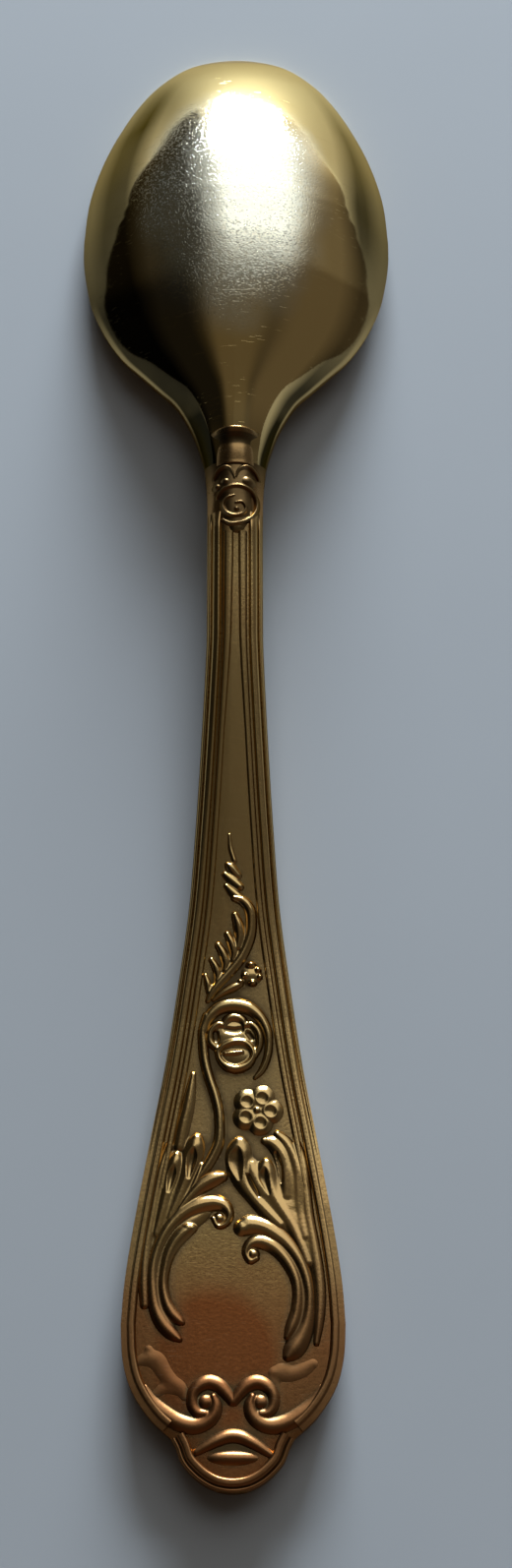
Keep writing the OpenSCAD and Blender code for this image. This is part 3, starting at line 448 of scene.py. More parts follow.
# Strokes are rows of [column, row, width, height] and bosses [column, row, its radii, height],
# with widths and heights as shares of a full stroke. Holes and cups are cut as strokes.
CREST = [
    [[0, 1, 5.4, 0.3], [0, 3, 8.6, 0.35], [0, 6, 7.4, 0.35], [0.4, 9, 6.6, 0.35],
     [0.4, 12, 3.4, 0.3]],
    [[-4, 2.4, 0.8, 0.5], [-3.3, 1.2, 1.1, 0.6], [-2, 0.6, 1.2, 0.65], [-0.9, 1, 1.1, 0.6],
     [-0.3, 2.1, 0.9, 0.55], [-0.1, 2.9, 0.6, 0.5]],
    [[0.2, 2.6, 0.7, 0.5], [0.7, 1.3, 1, 0.6], [1.8, 0.6, 1.2, 0.65], [2.9, 0.7, 1.2, 0.65],
     [3.8, 1.4, 1.1, 0.6], [4.4, 2.4, 0.8, 0.5]],
    [[-3.37, 6.34, 0.8, 0.5], [-2.27, 5.06, 1.2, 0.65], [-0.2, 4.41, 1.4, 0.7], [1.75, 4.6, 1.4, 0.7],
     [3.34, 5.42, 1.3, 0.65], [4.07, 6.9, 1.2, 0.6], [3.95, 8.64, 1.1, 0.6], [2.97, 10.3, 1.1, 0.6],
     [1.14, 11.4, 1.2, 0.65], [-0.81, 11.59, 1.2, 0.6], [-2.27, 10.76, 0.8, 0.5]],
    [[-0.2, 6.25, 0.8, 0.5], [-1.66, 6.8, 1.1, 0.65], [-2.27, 8.09, 1.2, 0.7], [-1.66, 9.47, 1.2, 0.7],
     [-0.2, 10.12, 1.2, 0.7], [1.39, 9.75, 1.1, 0.7], [2, 8.55, 1, 0.7], [1.27, 7.54, 0.9, 0.7],
     [0.17, 7.72, 0.7, 0.65]]]
CREST_BOSSES = [[-3.5, 4.2, 0.8, 0.7, 0.55], [-1.8, 3.4, 0.9, 0.7, 0.5], [2.3, 3.3, 1.6, 1.1, 0.5],
                [0.3, 8.9, 0.6, 0.6, 0.75]]
# Height and half width of the drop from the neck to its far end.
HEEL_RISE = [[-0.1, 0.55], [0, 0.55], [0.2, 0.56], [0.36, 0.52], [0.5, 0.42], [0.64, 0.48],
             [0.76, 0.76], [0.86, 0.97], [0.91, 1], [0.96, 0.8], [1, 0.3], [1.1, -0.8]]
HEEL_WIDTH = [[-0.1, 1.2], [0.3, 1.15], [0.6, 1.14], [0.78, 1.18], [0.88, 1.16], [0.95, 1.02],
              [1, 0.7], [1.1, 0.3]]

TENDRIL = [
    [[-0.45, 3.4, 0.35, 0.3], [-0.35, 4.6, 0.6, 0.35], [0, 5.8, 0.6, 0.4]],
    [[-0.6, 6.1, 0.7, 0.6], [-0.3, 6.4, 1.2, 0.8], [0.3, 7.1, 0.95, 0.5]],
    [[-0.8, 7, 0.85, 0.5], [-0.2, 7.5, 1.2, 0.65], [0.5, 8.1, 0.95, 0.7]],
    [[-0.7, 8, 0.7, 0.5], [-0.1, 8.6, 1.2, 0.6], [0.5, 9.1, 0.95, 0.7]]]
SPRAY = [
    [[0, 9.1, 0.85, 0.8], [0.75, 9.35, 1.2, 0.85], [1.35, 10.1, 1.3, 0.8], [1.5, 11.2, 1.3, 0.75],
     [1.4, 12.4, 1.3, 0.75], [1, 13.6, 1.3, 0.75], [0.4, 14.7, 1.3, 0.75], [-0.4, 15.7, 1.2, 0.7],
     [-1.2, 16.6, 1.1, 0.7], [-1.9, 17.5, 0.95, 0.65], [-2.3, 18.3, 0.6, 0.5]],
    [[0.05, 10.6, 0.85, 0.75], [0.35, 11.5, 1.3, 0.8], [0.5, 12.5, 1.3, 0.7], [0.35, 13.5, 0.95, 0.6]],
    [[-0.6, 12.35, 0.85, 0.75], [-0.25, 13.1, 1.1, 0.8], [0, 14, 1.1, 0.65], [-0.1, 14.6, 0.85, 0.5]],
    [[-1.4, 13.3, 0.85, 0.75], [-1, 14, 1.1, 0.8], [-0.7, 14.9, 1.1, 0.65], [-0.8, 15.5, 0.85, 0.5]],
    [[-2, 14.6, 0.7, 0.7], [-1.65, 15.2, 0.95, 0.75], [-1.4, 16, 0.95, 0.6], [-1.5, 16.5, 0.7, 0.5]],
    [[-2.5, 16, 0.5, 0.5], [-2.3, 16.7, 0.85, 0.6], [-2.2, 17.5, 0.7, 0.5]]]
BUD = [[1.45, 15.1, 0.5, 0.38, 1], [2.05, 15.55, 0.33, 0.33, 0.9], [0.95, 16.05, 0.36, 0.33, 0.9],
       [2.2, 16.15, 0.3, 0.32, 0.8], [0.55, 16.6, 0.33, 0.3, 0.8], [1.6, 16.7, 0.42, 0.36, 0.9],
       [1.5, 16, 0.95, 0.95, 0.5]]
BUD_LEAF = [[[0.6, 16.8, 0.7, 0.6], [-0.1, 17.1, 1.1, 0.7], [-1, 17.6, 0.85, 0.6],
             [-1.8, 18.2, 0.5, 0.4]]]
RING = [
    [[-2.55, 20.9, 1.1, 0.7], [-2.3, 19.9, 1.3, 0.8], [-1.5, 19.05, 1.55, 0.8], [-0.6, 18.7, 1.7, 0.85],
     [0.4, 18.7, 1.7, 0.85], [1.4, 19, 1.55, 0.85], [2.3, 19.8, 1.3, 0.8], [2.85, 20.9, 1.15, 0.75],
     [3, 22.1, 1, 0.7], [2.85, 23.3, 0.95, 0.7], [2.4, 24.4, 0.85, 0.6], [1.8, 25.1, 0.5, 0.5]],
    [[-2.4, 19.6, 0.95, 0.7], [-2.7, 20.9, 1.1, 0.75], [-2.65, 22.2, 1.2, 0.75], [-2.5, 23.6, 1.2, 0.75],
     [-2.15, 25, 1.2, 0.75], [-1.65, 26.5, 1.2, 0.75], [-1.3, 28, 1.2, 0.75], [-1.2, 29.5, 1.2, 0.75],
     [-1.3, 30.8, 1.3, 0.75], [-1.75, 31.9, 1.3, 0.7], [-2.4, 33, 1.2, 0.65], [-3.3, 34.2, 0.85, 0.5]]]
RING_PETALS = [[0, 21.5, 2.3, 1.9, 0.55], [0.1, 23.2, 1.6, 1.25, 0.5]]
RING_CUP = [
    [[-0.95, 20.5, 0.8, 0.7], [-0.5, 19.9, 1.1, 0.85], [0.1, 19.75, 1.2, 0.9], [0.7, 20, 1.1, 0.85],
     [0.95, 20.5, 0.8, 0.7]],
    [[-0.95, 20.5, 0.8, 0.7], [-1.4, 20.4, 1, 0.85], [-2, 21, 1, 0.8], [-2.05, 21.9, 1, 0.75],
     [-1.5, 22.5, 0.8, 0.65]],
    [[0.95, 20.5, 0.8, 0.7], [1.5, 20.4, 1, 0.85], [2.1, 21.1, 1, 0.8], [2.2, 22.2, 0.9, 0.75],
     [1.8, 23.2, 0.7, 0.65]],
    [[-1.4, 22.8, 0.8, 0.8], [-0.9, 22.3, 1, 0.9], [0, 21.95, 1, 1], [0.9, 22, 1, 0.9],
     [1.5, 22.5, 0.8, 0.85], [1.65, 23.2, 0.8, 0.85], [1.2, 23.9, 1.1, 0.9], [0.3, 24.3, 1.2, 0.95],
     [-0.6, 24.1, 1.1, 0.9], [-1.2, 23.5, 0.8, 0.8], [-1.4, 22.8, 0.8, 0.8]],
    [[-0.8, 23, 0.6, 0.8], [0, 22.95, 0.9, 0.95], [0.7, 22.85, 0.6, 0.8]]]
RING_HOLES = [[[-1.6, 21.2, 0.7, 0.4], [-1.5, 21.7, 0.7, 0.4]],
              [[1.2, 21.2, 0.7, 0.35], [1.5, 21.6, 0.7, 0.35]],
              [[-0.6, 20.9, 0.8, 0.3], [0, 21, 0.9, 0.35], [0.6, 20.9, 0.8, 0.3]]]
# The flower: its centre and the reach of its petals, and the first petal's turn in degrees.
PETAL_COUNT, PETAL_TURN, PETAL_PLACE = 5, 68, (1.98, 27.95, 1.14)
PETAL_SIZE, PETAL_CUP, CUP_RUN = (1.14, 1.14, 0.78), (1.3, 0.42), 0.05
FLOWER_EYE = ((1.5, 1.5, 0.5), (0.45, 0.45, 0.75))
LEFT_LEAVES = [
    [[-3.6, 31.6, 1.8, 0.3], [-4, 33.5, 2.8, 0.42], [-4.7, 35.5, 3.2, 0.5], [-5.5, 37.5, 2.8, 0.45],
     [-6.3, 39.5, 1.8, 0.3]],
    [[-5.2, 33, 1.6, 0.3], [-5.8, 35, 2.2, 0.42], [-6.3, 37, 2, 0.3]],
    [[-3.5, 24.8, 0.7, 0.35], [-3.7, 26.2, 1.2, 0.45], [-3.95, 27.8, 1.5, 0.5], [-4.3, 29.3, 1.6, 0.5],
     [-4.6, 31, 1.5, 0.45]],
    [[-3.15, 30.5, 1.5, 0.75], [-3.3, 31.1, 2.2, 0.9], [-3.5, 32, 2.4, 0.85], [-3.75, 33, 2.1, 0.75],
     [-4.15, 34.3, 1.7, 0.68], [-4.7, 35.8, 1.5, 0.6], [-5.3, 37.2, 1.2, 0.5]],
    [[-2.7, 32.7, 0.7, 0.45], [-3, 33.7, 1.1, 0.55], [-3.55, 34.9, 1.2, 0.55], [-4.4, 36.2, 1.1, 0.5]],
    [[-4.85, 31.9, 1.2, 0.7], [-5, 32.5, 1.8, 0.8], [-5.25, 33.6, 2, 0.75], [-5.6, 34.9, 1.5, 0.66],
     [-6, 36.6, 1.5, 0.6], [-6.5, 38.5, 1.2, 0.5]],
    [[-5.5, 31, 1, 0.42], [-6.1, 32.9, 1.4, 0.5], [-6.5, 34.9, 1.4, 0.5], [-6.9, 37.2, 1.4, 0.5],
     [-7.3, 39.6, 1.4, 0.5], [-7.5, 42.2, 1.3, 0.5], [-7.4, 44.6, 1, 0.45]]]
LEFT_HOLES = [
    [[-3.4, 31.4, 0.5, 0.15], [-3.5, 32, 1.1, 0.6], [-3.65, 32.8, 0.9, 0.6], [-3.8, 33.8, 0.4, 0.15]],
    [[-5.05, 32.9, 0.5, 0.15], [-5.2, 33.5, 0.9, 0.5], [-5.35, 34.2, 0.7, 0.45], [-5.5, 35, 0.3, 0.15]]]
RIGHT_LEAVES = [
    [[1, 32.4, 1.8, 0.3], [2, 34, 3.2, 0.45], [3.2, 35.6, 4.2, 0.5], [4.6, 37, 3.8, 0.5],
     [5.8, 38.8, 2.6, 0.45], [6.4, 40.8, 1.8, 0.3]],
    [[3.4, 31, 1.4, 0.3], [4.3, 32.2, 2.2, 0.42], [4.8, 34, 2.8, 0.45], [5, 36, 2.8, 0.4]],
    [[0.5, 30.9, 1.8, 0.75], [0.45, 31.5, 2.7, 0.9], [0.4, 32.3, 2.9, 0.9], [0.55, 33.3, 2.6, 0.82],
     [0.95, 34.4, 2.1, 0.75], [1.7, 35.5, 1.7, 0.7], [2.7, 36.6, 1.7, 0.65], [3.9, 37.8, 1.5, 0.55]],
    [[1.5, 32.7, 1.1, 0.5], [1.65, 33.3, 1.7, 0.6], [2, 34.2, 1.6, 0.6], [2.6, 35.2, 1.3, 0.55]],
    [[2.75, 32.6, 1.4, 0.7], [2.7, 33.2, 2.2, 0.85], [2.85, 34.2, 2.3, 0.8], [3.35, 35.4, 1.9, 0.7],
     [4.1, 36.6, 1.6, 0.65], [4.9, 37.9, 1.5, 0.6], [5.6, 39.4, 1.4, 0.6], [6.2, 41, 1.1, 0.5]],
    [[2.6, 30.6, 0.9, 0.5], [3.3, 30.8, 1.6, 0.7], [4, 31.6, 1.8, 0.7], [4.35, 32.8, 1.6, 0.62],
     [4.45, 34, 1.5, 0.58], [4.5, 35.3, 1.4, 0.5]],
    [[3.7, 30, 0.9, 0.55], [4.4, 30.7, 1.4, 0.62], [5, 31.8, 1.5, 0.6], [5.4, 33.2, 1.5, 0.58],
     [5.5, 34.8, 1.4, 0.55], [5.6, 36.6, 1.4, 0.5], [6, 38.8, 1.2, 0.5]],
    [[5.4, 30.8, 0.9, 0.4], [5.85, 32.6, 1.3, 0.48], [6.05, 34.9, 1.4, 0.5], [6.3, 37.2, 1.4, 0.5],
     [6.7, 39.4, 1.4, 0.5], [7.05, 41.6, 1.4, 0.5], [7.25, 43.8, 1.3, 0.5], [7.15, 46, 1.1, 0.5],
     [6.9, 47.8, 0.7, 0.45]]]
RIGHT_HOLES = [
    [[0.3, 31.4, 0.7, 0.15], [0.2, 32, 1.5, 0.6], [0.25, 32.7, 1.5, 0.7], [0.5, 33.9, 0.6, 0.2]],
    [[2.6, 33.1, 0.5, 0.15], [2.55, 33.7, 1.1, 0.55], [2.7, 34.3, 0.9, 0.5], [3, 35.2, 0.4, 0.15]],
    [[1.2, 33.6, 0.35, 0.4], [1.55, 34.4, 0.45, 0.5], [2.1, 35.4, 0.3, 0.3]],
    [[3.6, 31.7, 0.35, 0.3], [3.95, 32.9, 0.45, 0.5], [4.05, 34.2, 0.3, 0.3]]]
LEFT_SCROLL = [
    [[-2.4, 36.8, 1.6, 0.3], [-4.2, 38, 2.4, 0.35], [-5.7, 40, 2.2, 0.35], [-6.3, 42, 2, 0.35],
     [-6.1, 44, 2.2, 0.35], [-5.4, 45.8, 2, 0.35]],
    [[-0.95, 33.7, 1.3, 0.9], [-1.8, 33.95, 1.9, 0.9], [-2.7, 34.45, 1.9, 0.85], [-3.5, 35.2, 1.55, 0.75],
     [-4.3, 36.2, 1.3, 0.65], [-5.1, 37.4, 1.1, 0.5]],
    [[-1.7, 37.3, 0.6, 0.7], [-1.3, 37.95, 0.7, 0.75], [-0.65, 37.75, 0.85, 0.8], [-0.35, 37, 1.1, 0.85],
     [-0.75, 36.25, 1.55, 0.9], [-1.6, 35.95, 1.9, 0.9], [-2.7, 36.1, 2.05, 0.9], [-3.8, 36.55, 1.9, 0.85],
     [-4.9, 37.4, 1.8, 0.8], [-5.8, 38.6, 1.55, 0.8], [-6.4, 40, 1.45, 0.75], [-6.75, 41.6, 1.4, 0.75],
     [-6.75, 43.2, 1.4, 0.75], [-6.5, 44.8, 1.5, 0.75], [-5.9, 46.1, 1.7, 0.8], [-5.1, 47, 1.45, 0.75],
     [-4.45, 47.5, 0.7, 0.6]],
    [[-3.55, 38.15, 1.3, 0.85], [-4.2, 38.5, 1.8, 0.9], [-4.9, 39.3, 1.7, 0.85], [-5.45, 40.4, 1.45, 0.8],
     [-5.75, 41.7, 1.2, 0.75], [-5.85, 43, 1.2, 0.75], [-5.6, 44.3, 1.3, 0.75], [-5.1, 45.3, 1.45, 0.75],
     [-4.5, 45.9, 1.1, 0.65], [-4.2, 46.1, 0.6, 0.5]]]
LEFT_BALL = [[-1.2, 37.3, 0.6, 0.55, 0.85], [-3.75, 38.1, 0.8, 0.5, 0.9]]
RIGHT_SCROLL = [
    [[2.4, 38.6, 1.6, 0.3], [4, 39.7, 2.4, 0.35], [5.2, 41.4, 2.2, 0.35], [5.8, 43.2, 2, 0.35],
     [5.8, 45, 2.2, 0.35], [5.4, 47, 2.4, 0.35]],
    [[0.7, 38.1, 1.9, 0.8], [1.5, 37.85, 2.3, 0.9], [2.5, 38.05, 2.15, 0.9], [3.5, 38.6, 2.05, 0.85],
     [4.5, 39.4, 1.8, 0.8], [5.35, 40.5, 1.55, 0.8], [5.95, 41.8, 1.4, 0.75], [6.3, 43.2, 1.25, 0.75],
     [6.35, 44.6, 1.3, 0.75], [6.15, 46, 1.7, 0.75], [5.7, 47.2, 2.15, 0.8], [5.1, 48.2, 2.3, 0.85],
     [4.55, 48.9, 1.2, 0.7]],
    [[1.95, 40.7, 0.7, 0.65], [1.4, 40.9, 0.85, 0.7], [1.05, 40.2, 0.95, 0.75], [1.4, 39.5, 1.3, 0.8],
     [2.2, 39.25, 1.7, 0.85], [3.2, 39.6, 1.7, 0.85], [4.1, 40.4, 1.55, 0.8], [4.85, 41.5, 1.45, 0.75],
     [5.3, 42.7, 1.3, 0.75], [5.4, 44, 1.3, 0.75], [5.25, 45.3, 1.45, 0.75], [4.85, 46.5, 1.45, 0.75],
     [4.45, 47.3, 0.7, 0.6]]]
RIGHT_BALL = [[1.65, 40.35, 0.6, 0.55, 0.85], [0.8, 38.1, 0.8, 0.75, 0.9]]
LEFT_SPRIG = [
    [[-7.9, 49.3, 0.88, 0.09], [-7.2, 49.1, 1.49, 0.13], [-6.4, 49.2, 1.93, 0.14],
     [-5.7, 50.2, 1.66, 0.13], [-5.1, 51, 1.66, 0.14], [-4.4, 51.5, 1.49, 0.13], [-4, 52.2, 0.88, 0.09]],
    [[-7, 48.3, 0.88, 0.09], [-6.9, 49, 1.49, 0.12]],
    [[-6.4, 52, 0.88, 0.07], [-5.6, 51.5, 1.23, 0.08], [-4.8, 51.7, 0.88, 0.07]]]
RIGHT_SPRIG = [
    [[3.4, 50.2, 1.05, 0.12], [4.1, 50.2, 1.93, 0.14], [4.9, 50.3, 1.66, 0.13], [5.8, 50, 1.49, 0.1],
     [6.6, 49.5, 1.05, 0.09]],
    [[3.4, 50.3, 1.23, 0.1], [3.35, 51.2, 1.23, 0.08], [3.5, 52, 0.88, 0.07]]]
VOLUTE = [
    [[-7.4, 51.6, 1.1, 0.4], [-6.6, 52.7, 1.46, 0.48], [-5.6, 53.6, 1.71, 0.56], [-4.5, 54.3, 1.83, 0.6],
     [-3.3, 54.6, 1.83, 0.6], [-2.3, 54.35, 1.71, 0.6], [-1.6, 53.7, 1.59, 0.6],
     [-1.4, 52.9, 1.34, 0.56], [-1.6, 52.2, 0.85, 0.48]],
    [[-0.05, 52.55, 1.22, 0.48], [-0.6, 51.85, 1.46, 0.56], [-1.2, 51.3, 1.59, 0.6],
     [-2, 51.05, 1.59, 0.6], [-2.8, 51.35, 1.46, 0.6], [-3.3, 52, 1.34, 0.56], [-3.3, 52.9, 1.34, 0.52],
     [-2.9, 53.5, 1.22, 0.52], [-2.3, 53.6, 0.98, 0.48]]]
VOLUTE_KNOB = [[-2.25, 52.65, 0.7, 0.65, 0.55]]
LOBE_SHELL = [[0, 57.2, 2.1, 0.62, 0.65]]
LOBE_ARCH = [
    [[-3, 56.7, 0.9, 0.45], [-2.1, 56.2, 1.2, 0.6], [-1.2, 55.75, 1.4, 0.7], [-0.3, 55.45, 1.5, 0.7],
     [0.6, 55.5, 1.5, 0.7], [1.4, 55.85, 1.4, 0.7], [2.2, 56.3, 1.2, 0.6], [3.1, 56.9, 0.9, 0.45]]]


def petal_places():
    """Middles of the petals round the flower's eye."""
    x, u, reach = PETAL_PLACE
    turns = [math.radians(PETAL_TURN + k * 360 / PETAL_COUNT) for k in range(PETAL_COUNT)]
    return [(x + reach * math.cos(a), u - reach * math.sin(a)) for a in turns]


PETALS = [[x, u, *PETAL_SIZE] for x, u in petal_places()]
PETALS += [[*PETAL_PLACE[:2], *size] for size in FLOWER_EYE]
PETAL_CUPS = [[[x, u, *PETAL_CUP], [x + CUP_RUN, u + CUP_RUN, *PETAL_CUP]] for x, u in petal_places()]


def mirrored(rows):
    """Rows of a stroke or bosses on the other side of the middle."""
    return [[-row[0], *row[1:]] for row in rows]


# Strokes, bosses and cuts of each piece.
BACK_ORNAMENT = {
    "back_tendril": (TENDRIL,),
    "back_leaf_spray": (SPRAY,),
    "back_bud": (BUD_LEAF, BUD),
    "back_ring_scroll": (RING,),
    "back_ring_flower": (RING_CUP, RING_PETALS, RING_HOLES),
    "back_flower": ([], PETALS, PETAL_CUPS),
    "back_leaves_left": (LEFT_LEAVES, [], LEFT_HOLES),
    "back_leaves_right": (RIGHT_LEAVES, [], RIGHT_HOLES),
    "back_scroll_left": (LEFT_SCROLL, LEFT_BALL),
    "back_scroll_right": (RIGHT_SCROLL, RIGHT_BALL),
    "back_sprig_left": (LEFT_SPRIG,),
    "back_sprig_right": (RIGHT_SPRIG,),
    "back_volute_left": (VOLUTE, VOLUTE_KNOB),
    "back_volute_right": ([mirrored(stroke) for stroke in VOLUTE], mirrored(VOLUTE_KNOB)),
    "back_lobe_shell": (LOBE_ARCH, LOBE_SHELL),
}
FRONT_ORNAMENT = {
    "front_vine": (RING,),
    "front_flower": ([], PETALS),
    "front_scroll_left": (RIGHT_SCROLL[1:2],),
    "front_scroll_right": (LEFT_SCROLL[2:3],),
    "front_volute_left": ([mirrored(VOLUTE[0])],),
    "front_volute_right": (VOLUTE[:1],),
}
WARM = ("back_sprig", "back_volute", "back_lobe", "front_volute", "front_lobe", "end_lobe")
HANDLE_COLUMNS, HANDLE_ROWS, CREST_COLUMNS, CREST_ROWS = 18, 60, 10, 13
BACK_STEP, FRONT_STEP, HEEL_STEP, CREST_STEP = 0.08, 0.1, 0.06, 0.05
# Painted shade in the hollows of the ornament and on the ground beside it: blurs in steps of the grid,
# heights in millimetres, and gains.
HOLLOW_BLUR, HOLLOW_GAIN, BESIDE_BLUR, BESIDE_GAIN = 5, 4, 12, 0.6
RAISED_FROM, GROUND_UNDER = 0.06, 0.15
PANELS = {}


def handle_grid(spoon):
    """The grid of the scrollwork tables, its columns between the edge threads."""
    between = spoon.handle_w - 2 * spoon.thread_w
    return Grid(between / HANDLE_COLUMNS, spoon.pattern_len / HANDLE_ROWS, spoon.plate_at)


def handle_relief(spoon, step):
    """Empty relief over the length of the handle that the scrollwork covers."""
    half = spoon.handle_w / 2
    return Relief(step, (-half, half), (spoon.plate_at, spoon.overall_len))


def back_panel(spoon):
    """Relief of each piece of the handle's back on one shared grid, and the painted shade of each place."""
    key = tuple(getattr(spoon, k) for k in SpoonSizes.__annotations__)
    if key not in PANELS:
        made = {}
        for name, parts in BACK_ORNAMENT.items():
            made[name] = handle_relief(spoon, BACK_STEP)
            made[name].ornament(handle_grid(spoon), spoon.stroke_w, spoon.relief_h, *parts,
                                soft=LEAF_SOFT if "leaves" in name else JOIN_SOFT)
        raised = np.maximum(np.maximum.reduce([relief.z for relief in made.values()]), 0)
        hollow = (blur(raised, HOLLOW_BLUR) - raised) * HOLLOW_GAIN
        covered = (raised > RAISED_FROM).astype(float)
        beside = blur(covered, BESIDE_BLUR) * (1 - ramp(raised, 0, GROUND_UNDER))
        PANELS[key] = made, np.clip(hollow + beside * BESIDE_GAIN, 0, 1)
    return PANELS[key]


# Materials

# Colours of small marks and of the metal seen at a low angle.
METAL_EDGE = (0.72, 0.59, 0.39, 1.0)
SCRATCH, PIT = (0.78, 0.68, 0.5), (0.13, 0.12, 0.09)
# Gold at the bowl's tip, and the dark colour of the painted reflection and painted shade on the bowl.
TIP_GOLD, BOWL_PAINTED_SHADE = (1.0, 0.8, 0.4), (0.022, 0.019, 0.011)

# Ovals on the back, in millimetres from the middle of the spoon: centre and half axes.
# The first oval is a painted warm reflection on the ground of the lower handle.
WARM_REFLECTION = (-1.5, -58.0), (4.5, 5.5)
STAIN = (0.3, -34.0), (3.8, 12.0)
RUBBED = (-0.5, 48.0), (9.0, 13.0)

# Stretches over which a tone comes in, in millimetres from the middle of the spoon: first toward
# the handle's end, then toward the bowl tip.
# Toward the handle's end the copper, partly painted warm reflection, comes in and the gilding grows darker.
LOWER_HANDLE, VOLUTES, WORN_END, END_DARKER = (20.0, 52.0), (47.0, 56.5), (40.0, 56.0), (45.0, 58.0)
# Near the neck a painted warm reflection and painted shade come in on the gilding, and painted shade on the
# bowl.
CREST_WARM_REFLECTION, NECK_PAINTED_SHADE, BOWL_NECK, BOWL_TIP = (14.0, 18.0), (9.0, 20.0), (23.0, 29.0), (54.0, 66.0)

# Stretch of the brushed grain, and depths of the bumps in metres.
BRUSHED = (5.0, 0.12, 1.0)
GILT_BUMP, BOWL_BUMP = 0.000012, 0.00003


def overloaded(operation, reflected=False):
    """A Python operator that adds one Math node."""
    def add_node(self, other):
        return self.look.math(operation, *((other, self) if reflected else (self, other)))
    return add_node


class Term:
    """A socket that adds Math nodes where it stands in an expression."""
    __add__, __radd__ = overloaded("ADD"), overloaded("ADD", True)
    __sub__, __rsub__ = overloaded("SUBTRACT"), overloaded("SUBTRACT", True)
    __mul__, __rmul__ = overloaded("MULTIPLY"), overloaded("MULTIPLY", True)
    __truediv__, __rtruediv__ = overloaded("DIVIDE"), overloaded("DIVIDE", True)

    def __init__(self, look, socket):
        self.look, self.socket = look, socket


class Look:
    """A node material, built from expressions."""

    def __init__(self, name, tree=None):
        if tree is None:
            self.material = bpy.data.materials.new(name)
            self.material.use_nodes = True
            tree = self.material.node_tree
        self.tree = tree
        tree.nodes.clear()

    def node(self, kind, settings=None, inputs=None):
        node = self.tree.nodes.new(kind)
        for key, value in (settings or {}).items():
            setattr(node, key, value)
        for key, value in (inputs or {}).items():
            if isinstance(value, Term):
                self.tree.links.new(value.socket, node.inputs[key])
            else:
                node.inputs[key].default_value = value
        return node

    def out(self, kind, settings=None, inputs=None, output=0):
        return Term(self, self.node(kind, settings, inputs).outputs[output])

    def math(self, operation, *values):
        return self.out("ShaderNodeMath", {"operation": operation}, dict(enumerate(values)))

    def clamp(self, value):
        return self.out("ShaderNodeClamp", None, {0: value})

    def step(self, value, low, high):
        """0 below low, 1 above high, smooth between."""
        return self.out("ShaderNodeMapRange", {"interpolation_type": "SMOOTHSTEP"},
                        {0: value, 1: low, 2: high, 3: 0.0, 4: 1.0})

    def mix(self, factor, a, b):
        """One colour over another, each a colour or a link."""
        a, b = [c if isinstance(c, Term) else (*c, 1) for c in (a, b)]
        return self.out("ShaderNodeMix", {"data_type": "RGBA"}, {0: factor, 6: a, 7: b}, 2)

    def millimetres(self):
        place = self.out("ShaderNodeTexCoord", None, None, "Object")
        return self.out("ShaderNodeVectorMath", {"operation": "SCALE"}, {0: place, "Scale": 1000.0})

    def parts(self, place):
        node = self.node("ShaderNodeSeparateXYZ", None, {0: place})
        return [Term(self, socket) for socket in node.outputs]

    def away(self, x, y, place, size):
        """Squared distance from the centre of an oval, 1 on its edge."""
        across, along = (x - place[0]) / size[0], (y - place[1]) / size[1]
        return across * across + along * along

    # The painted shade stored on each point of a piece.
    def painted_shade(self):
        return self.out("ShaderNodeAttribute", {"attribute_name": "painted_shade"}, None, "Fac")

    def turned(self, place, angle, scale):
        return self.out("ShaderNodeMapping", None, {
            "Vector": place, "Rotation": (0, 0, math.radians(angle)), "Scale": scale})

    def noise(self, place, scale, detail=2.0, roughness=0.5):
        return self.out("ShaderNodeTexNoise", None, {
            "Vector": place, "Scale": scale, "Detail": detail, "Roughness": roughness})

    def scratches(self, place, angle, across, along, low, high):
        """Thin straight marks at an angle."""
        streaks = self.noise(self.turned(place, angle, (across, along, 1.0)), scale=1.0, detail=1.0)
        return self.step(streaks, low, high)

    def metal(self, colour, roughness, height, distance):
        bump = self.out("ShaderNodeBump", None, {"Strength": 1.0, "Distance": distance, "Height": height})
        shader = self.out("ShaderNodeBsdfPrincipled", None, {
            "Base Color": colour, "Metallic": 1.0, "Roughness": roughness, "Normal": bump,
            "Specular Tint": METAL_EDGE})
        self.node("ShaderNodeOutputMaterial", None, {"Surface": shader})
        return self.material


